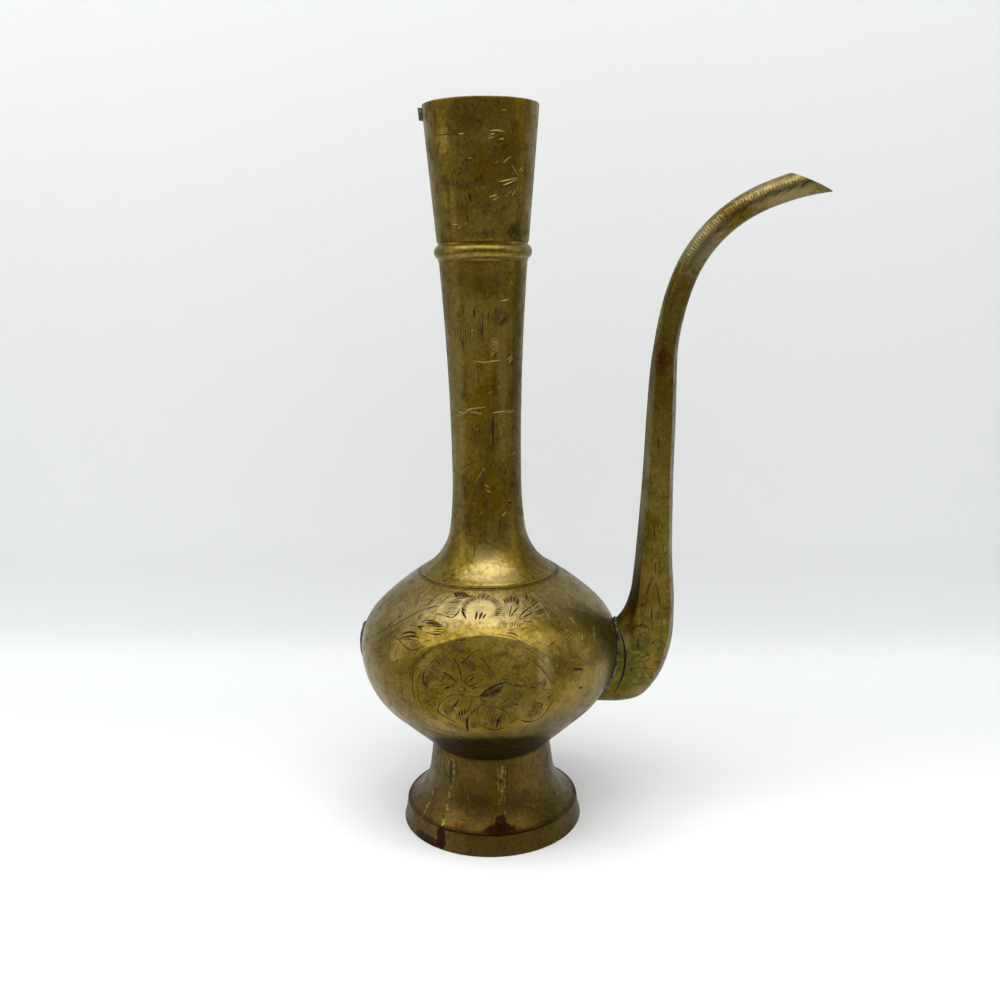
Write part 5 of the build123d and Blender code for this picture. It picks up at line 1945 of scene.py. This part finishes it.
def body_brass() -> AgedBrass:
    """Return the finish of the body: rubbed at the crown and the panel's edge, where the pale rub also paints
    the highlight, with painted shade and a painted reflection of the foot beneath the bowl.
    """
    # Pale rubbed brass, which also paints the highlight where it is laid on the crown and the panel's edge.
    rubbed = (0.38, 0.31, 0.155)
    return AgedBrass("brass_body_aged", roughness=0.30, stains=(
        # Painted shade: the bowl's underside is browner below this band's height.
        StainAndPaintedLight((0, 0, 34), (300, 300, 14), (0.06, 0.032, 0.003), 0.8, 0.35),
        # Painted reflection of the foot and painted shade, very dark, on the front of the bowl's underside.
        StainAndPaintedLight((1.5, -35, 39), (31, 30, 22), (0.03, 0.013, 0.0005), 0.97, 0.2, 0.1, 0.86),
        # These four pale rubbed places on the crown and the panel's edge are rubbed wear that also paints the
        # highlight.
        StainAndPaintedLight((-2, -36, 108), (30, 16, 8), rubbed, 0.6, 1.8, -0.04),
        StainAndPaintedLight((27, -24, 107), (18, 16, 9), rubbed, 0.35, 2.2, -0.02),
        StainAndPaintedLight((-27, -28, 104), (18, 16, 10), rubbed, 0.4, 2.2, -0.02),
        StainAndPaintedLight((24, -46, 86), (4, 8, 14), rubbed, 0.45, 2.0, -0.02),
        StainAndPaintedLight((50, -18, 90), (10, 14, 14), (0.06, 0.045, 0.008), 0.8, 1.6),
        StainAndPaintedLight((52, -12, 66), (10, 14, 16), (0.05, 0.036, 0.010), 0.8, 1.6),
        StainAndPaintedLight((30, -38, 62), (14, 14, 9), (0.15, 0.12, 0.075), 0.6, 1.8),
        StainAndPaintedLight((10, -49, 76), (16, 8, 12), (0.085, 0.07, 0.008), 0.6, 1.8),
    ))


def neck_brass() -> AgedBrass:
    """Return the finish of neck and mouth: rubbed at the rim and where the neck spreads, where the pale rub
    also paints the highlight, with lighter upright bands on the neck painted as reflections.
    """
    # Pale rubbed brass, which also paints the highlight where it is laid.
    rubbed = (0.40, 0.31, 0.125)
    return AgedBrass(
        "brass_neck_aged", (0.215, 0.155, 0.024), (0.13, 0.083, 0.001), (0.055, 0.033, 0.001), tarnish=0.85,
        roughness=0.36, shift=0.31, stains=(
            # These two rubbed places on the front of the flare are rubbed wear that also paints the
            # highlight.
            StainAndPaintedLight((2, -26, 120), (19, 12, 7), rubbed, 0.65, 1.4, -0.05),
            StainAndPaintedLight((0, -20, 126), (9, 8, 8), rubbed, 0.4, 2.0, -0.03),
            # Rubbed rim edge: rubbed wear that also paints the thin highlight along it.
            StainAndPaintedLight((0, 0, 306), (300, 300, 1.8), (0.5, 0.4, 0.2), 0.8, 0.5, -0.05),
            # These three lighter upright bands on the neck are painted reflections.
            StainAndPaintedLight((-11, -9, 190), (4.5, 12, 90), (0.26, 0.20, 0.07), 0.45, 1.6),
            StainAndPaintedLight((-5, -17, 215), (3.5, 8, 40), (0.22, 0.165, 0.03), 0.5, 1.8),
            StainAndPaintedLight((8, -14, 205), (3, 8, 50), (0.24, 0.18, 0.045), 0.45, 1.8),
            StainAndPaintedLight((13.5, -6, 200), (3, 12, 90), (0.06, 0.04, 0.003), 0.5, 1.8),
            StainAndPaintedLight((1, -16, 165), (5, 8, 30), (0.08, 0.055, 0.002), 0.5, 1.8),
            StainAndPaintedLight((3, -22, 254), (8, 6, 4), (0.04, 0.026, 0.003), 0.7, 1.6),
            StainAndPaintedLight((13, -14, 256), (4, 8, 5), (0.03, 0.02, 0.004), 0.8, 1.6),
            StainAndPaintedLight((-6, -21, 298), (14, 8, 8), (0.06, 0.036, 0.002), 0.6, 1.8),
            StainAndPaintedLight((0, -15, 236), (14, 8, 8), (0.06, 0.038, 0.002), 0.5, 1.8),
        ))


def ring_brass() -> AgedBrass:
    """Return the finish of the ring, a little less tarnished than the rest."""
    return AgedBrass("brass_ring_rubbed", tarnish=0.5, roughness=0.3, shift=0.7)


def spout_brass() -> AgedBrass:
    """Return the finish of the spout, with verdigris and heat stains at its root, and a pale rubbed band
    along the top of the bend that also paints the highlight there.
    """
    green = (0.055, 0.06, 0.012)
    return AgedBrass(
        "brass_spout_aged", (0.175, 0.13, 0.022), (0.11, 0.07, 0.002), (0.05, 0.03, 0.003), roughness=0.34,
        shift=1.1, stains=(
            StainAndPaintedLight((61, -8, 72), (8, 9, 14), green, 0.75, 2.6),
            StainAndPaintedLight((67, -9, 84), (5, 6, 8), green, 0.6, 2.6),
            StainAndPaintedLight((72, -9, 70), (3, 5, 6), (0.17, 0.07, 0.012), 0.5, 2.2),
            StainAndPaintedLight((68, -8, 117), (4, 5, 8), (0.17, 0.09, 0.01), 0.45, 2.6),
            StainAndPaintedLight((73, -3, 204), (4, 8, 9), (0.05, 0.012, 0.004), 0.85, 1.6),
            # Pale rubbed top of the bend and of the tip: rubbed wear that also paints the highlight.
            StainAndPaintedLight((88, -5, 250), (15, 10, 17), (0.33, 0.275, 0.15), 0.52, 1.8, -0.04),
            StainAndPaintedLight((118, -4, 270), (26, 10, 12), (0.30, 0.25, 0.13), 0.45, 2.0, -0.02),
            StainAndPaintedLight((137, 0, 266), (6, 8, 6), (0.06, 0.045, 0.02), 0.7, 1.8),
            StainAndPaintedLight((58, -9, 85), (5, 6, 5), (0.30, 0.25, 0.10), 0.6, 2.0),
            StainAndPaintedLight((66, -9, 60), (6, 6, 5), (0.28, 0.22, 0.09), 0.5, 2.0),
            StainAndPaintedLight((62, -6, 106), (2.6, 9, 34), (0.05, 0.035, 0.004), 0.8, 1.2),
        ))


def foot_brass() -> AgedBrass:
    """Return the finish of the foot, browned and stained by flux."""
    black = (0.022, 0.008, 0.003)
    return AgedBrass(
        "brass_foot_browned", (0.125, 0.082, 0.02), (0.085, 0.053, 0.009), (0.04, 0.023, 0.004),
        tarnish=0.6, roughness=0.36, shift=1.7, stains=(
            StainAndPaintedLight((4, -29, 22), (5, 6, 9), (0.10, 0.075, 0.003), 0.75, 1.8),
            StainAndPaintedLight((5, -34, 9.7), (8.5, 8, 1.5), black, 0.97, 1.1, 0.1, 0.75),
            StainAndPaintedLight((5, -34, 10.4), (5.6, 8, 2.3), black, 0.97, 1.1, 0.1, 0.75),
            StainAndPaintedLight((5, -33, 12), (2.9, 8, 3.4), black, 0.97, 1.1, 0.1, 0.75),
            StainAndPaintedLight((25, -24, 13), (8, 10, 10), (0.035, 0.024, 0.003), 0.8, 1.4),
            StainAndPaintedLight((-12, -33, 10), (5, 6, 3), (0.09, 0.03, 0.008), 0.45, 1.8),
            StainAndPaintedLight((-21, -29, 11), (7, 7, 4.5), (0.10, 0.08, 0.012), 0.6, 2.2),
            StainAndPaintedLight((-20.6, -33, 5), (2.2, 6, 6), black, 0.95, 1.2, 0.1, 0.7),
            StainAndPaintedLight((-27, -28, 1.4), (10, 9, 2.8), (0.016, 0.009, 0.003), 0.85, 1.4, 0.1, 0.6),
            StainAndPaintedLight((0, 0, 9.2), (300, 300, 0.7), (0.03, 0.018, 0.003), 0.6, 0.7),
        ))


def main() -> None:
    """Build the ewer, its finishes and its studio."""
    logging.basicConfig(level=logging.INFO, format="%(name)s: %(message)s")
    camera = Camera()
    camera.build()
    Studio().build()
    effects = Effects()
    looks = cut_looks(effects)
    form, graver = VesselForm(), Graver(camera)
    body = Body(form, PanelForm())
    trimmer = body.solid("root_cut", 0.0, 300)
    lower, upper = body.build([body_brass().build(effects), *looks])
    graver.engrave([lower, upper], body_drawing(), (0, 180))
    place(lower, "brass_body", "lower_bowl")
    place(upper, "brass_body", "upper_bowl")

    foot = finished(Foot(form).build(), foot_brass().build(effects), *looks)
    graver.engrave([foot], foot_runs(), (0,), Cut.ADD)
    graver.engrave([foot], foot_marks(), (0,))
    place(foot, "brass_foot", "pedestal_foot")

    neck = Neck(form)
    tube, ring, mouth = neck.tube(), neck.ring(), neck.mouth()
    brass = neck_brass().build(effects)
    for piece in (tube, mouth):
        finished(piece, brass, *looks)
    finished(ring, ring_brass().build(effects))
    graver.engrave([tube], neck_drawing(), (0, 180))
    graver.engrave([mouth], mouth_drawing(), (0, 180))
    place(tube, "brass_neck", "neck_tube")
    place(ring, "brass_ring", "neck_ring")
    place(mouth, "brass_neck", "mouth_funnel")

    spout = Spout(SpoutForm(), form)
    channel = finished(spout.whole(), spout_brass().build(effects), *looks)
    spout.trim(channel, trimmer)
    graver.engrave([channel], spout_drawing(), (0,))
    for half, node in zip(spout.halves(channel), ("spout_front_half", "spout_back_half")):
        place(half, "brass_spout", node)

    dull = DullCrust("grey_solder_dull", (0.13, 0.125, 0.095), (0.035, 0.03, 0.018)).build(effects)
    for node in ("spout_root_solder", "body_solder_scar", "rim_solder_lump"):
        place(Solder().build(node, [dull]), "grey_solder", node)
    seam = AgedBrass("brass_seam_aged", scratched=0.3).build(effects)
    for node, metal in (("seam_braze", seam), ("foot_solder_fillet", dull)):
        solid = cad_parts[node]
        solid.data.materials.clear()
        solid.data.materials.append(metal)


if __name__ == "__main__":
    main()
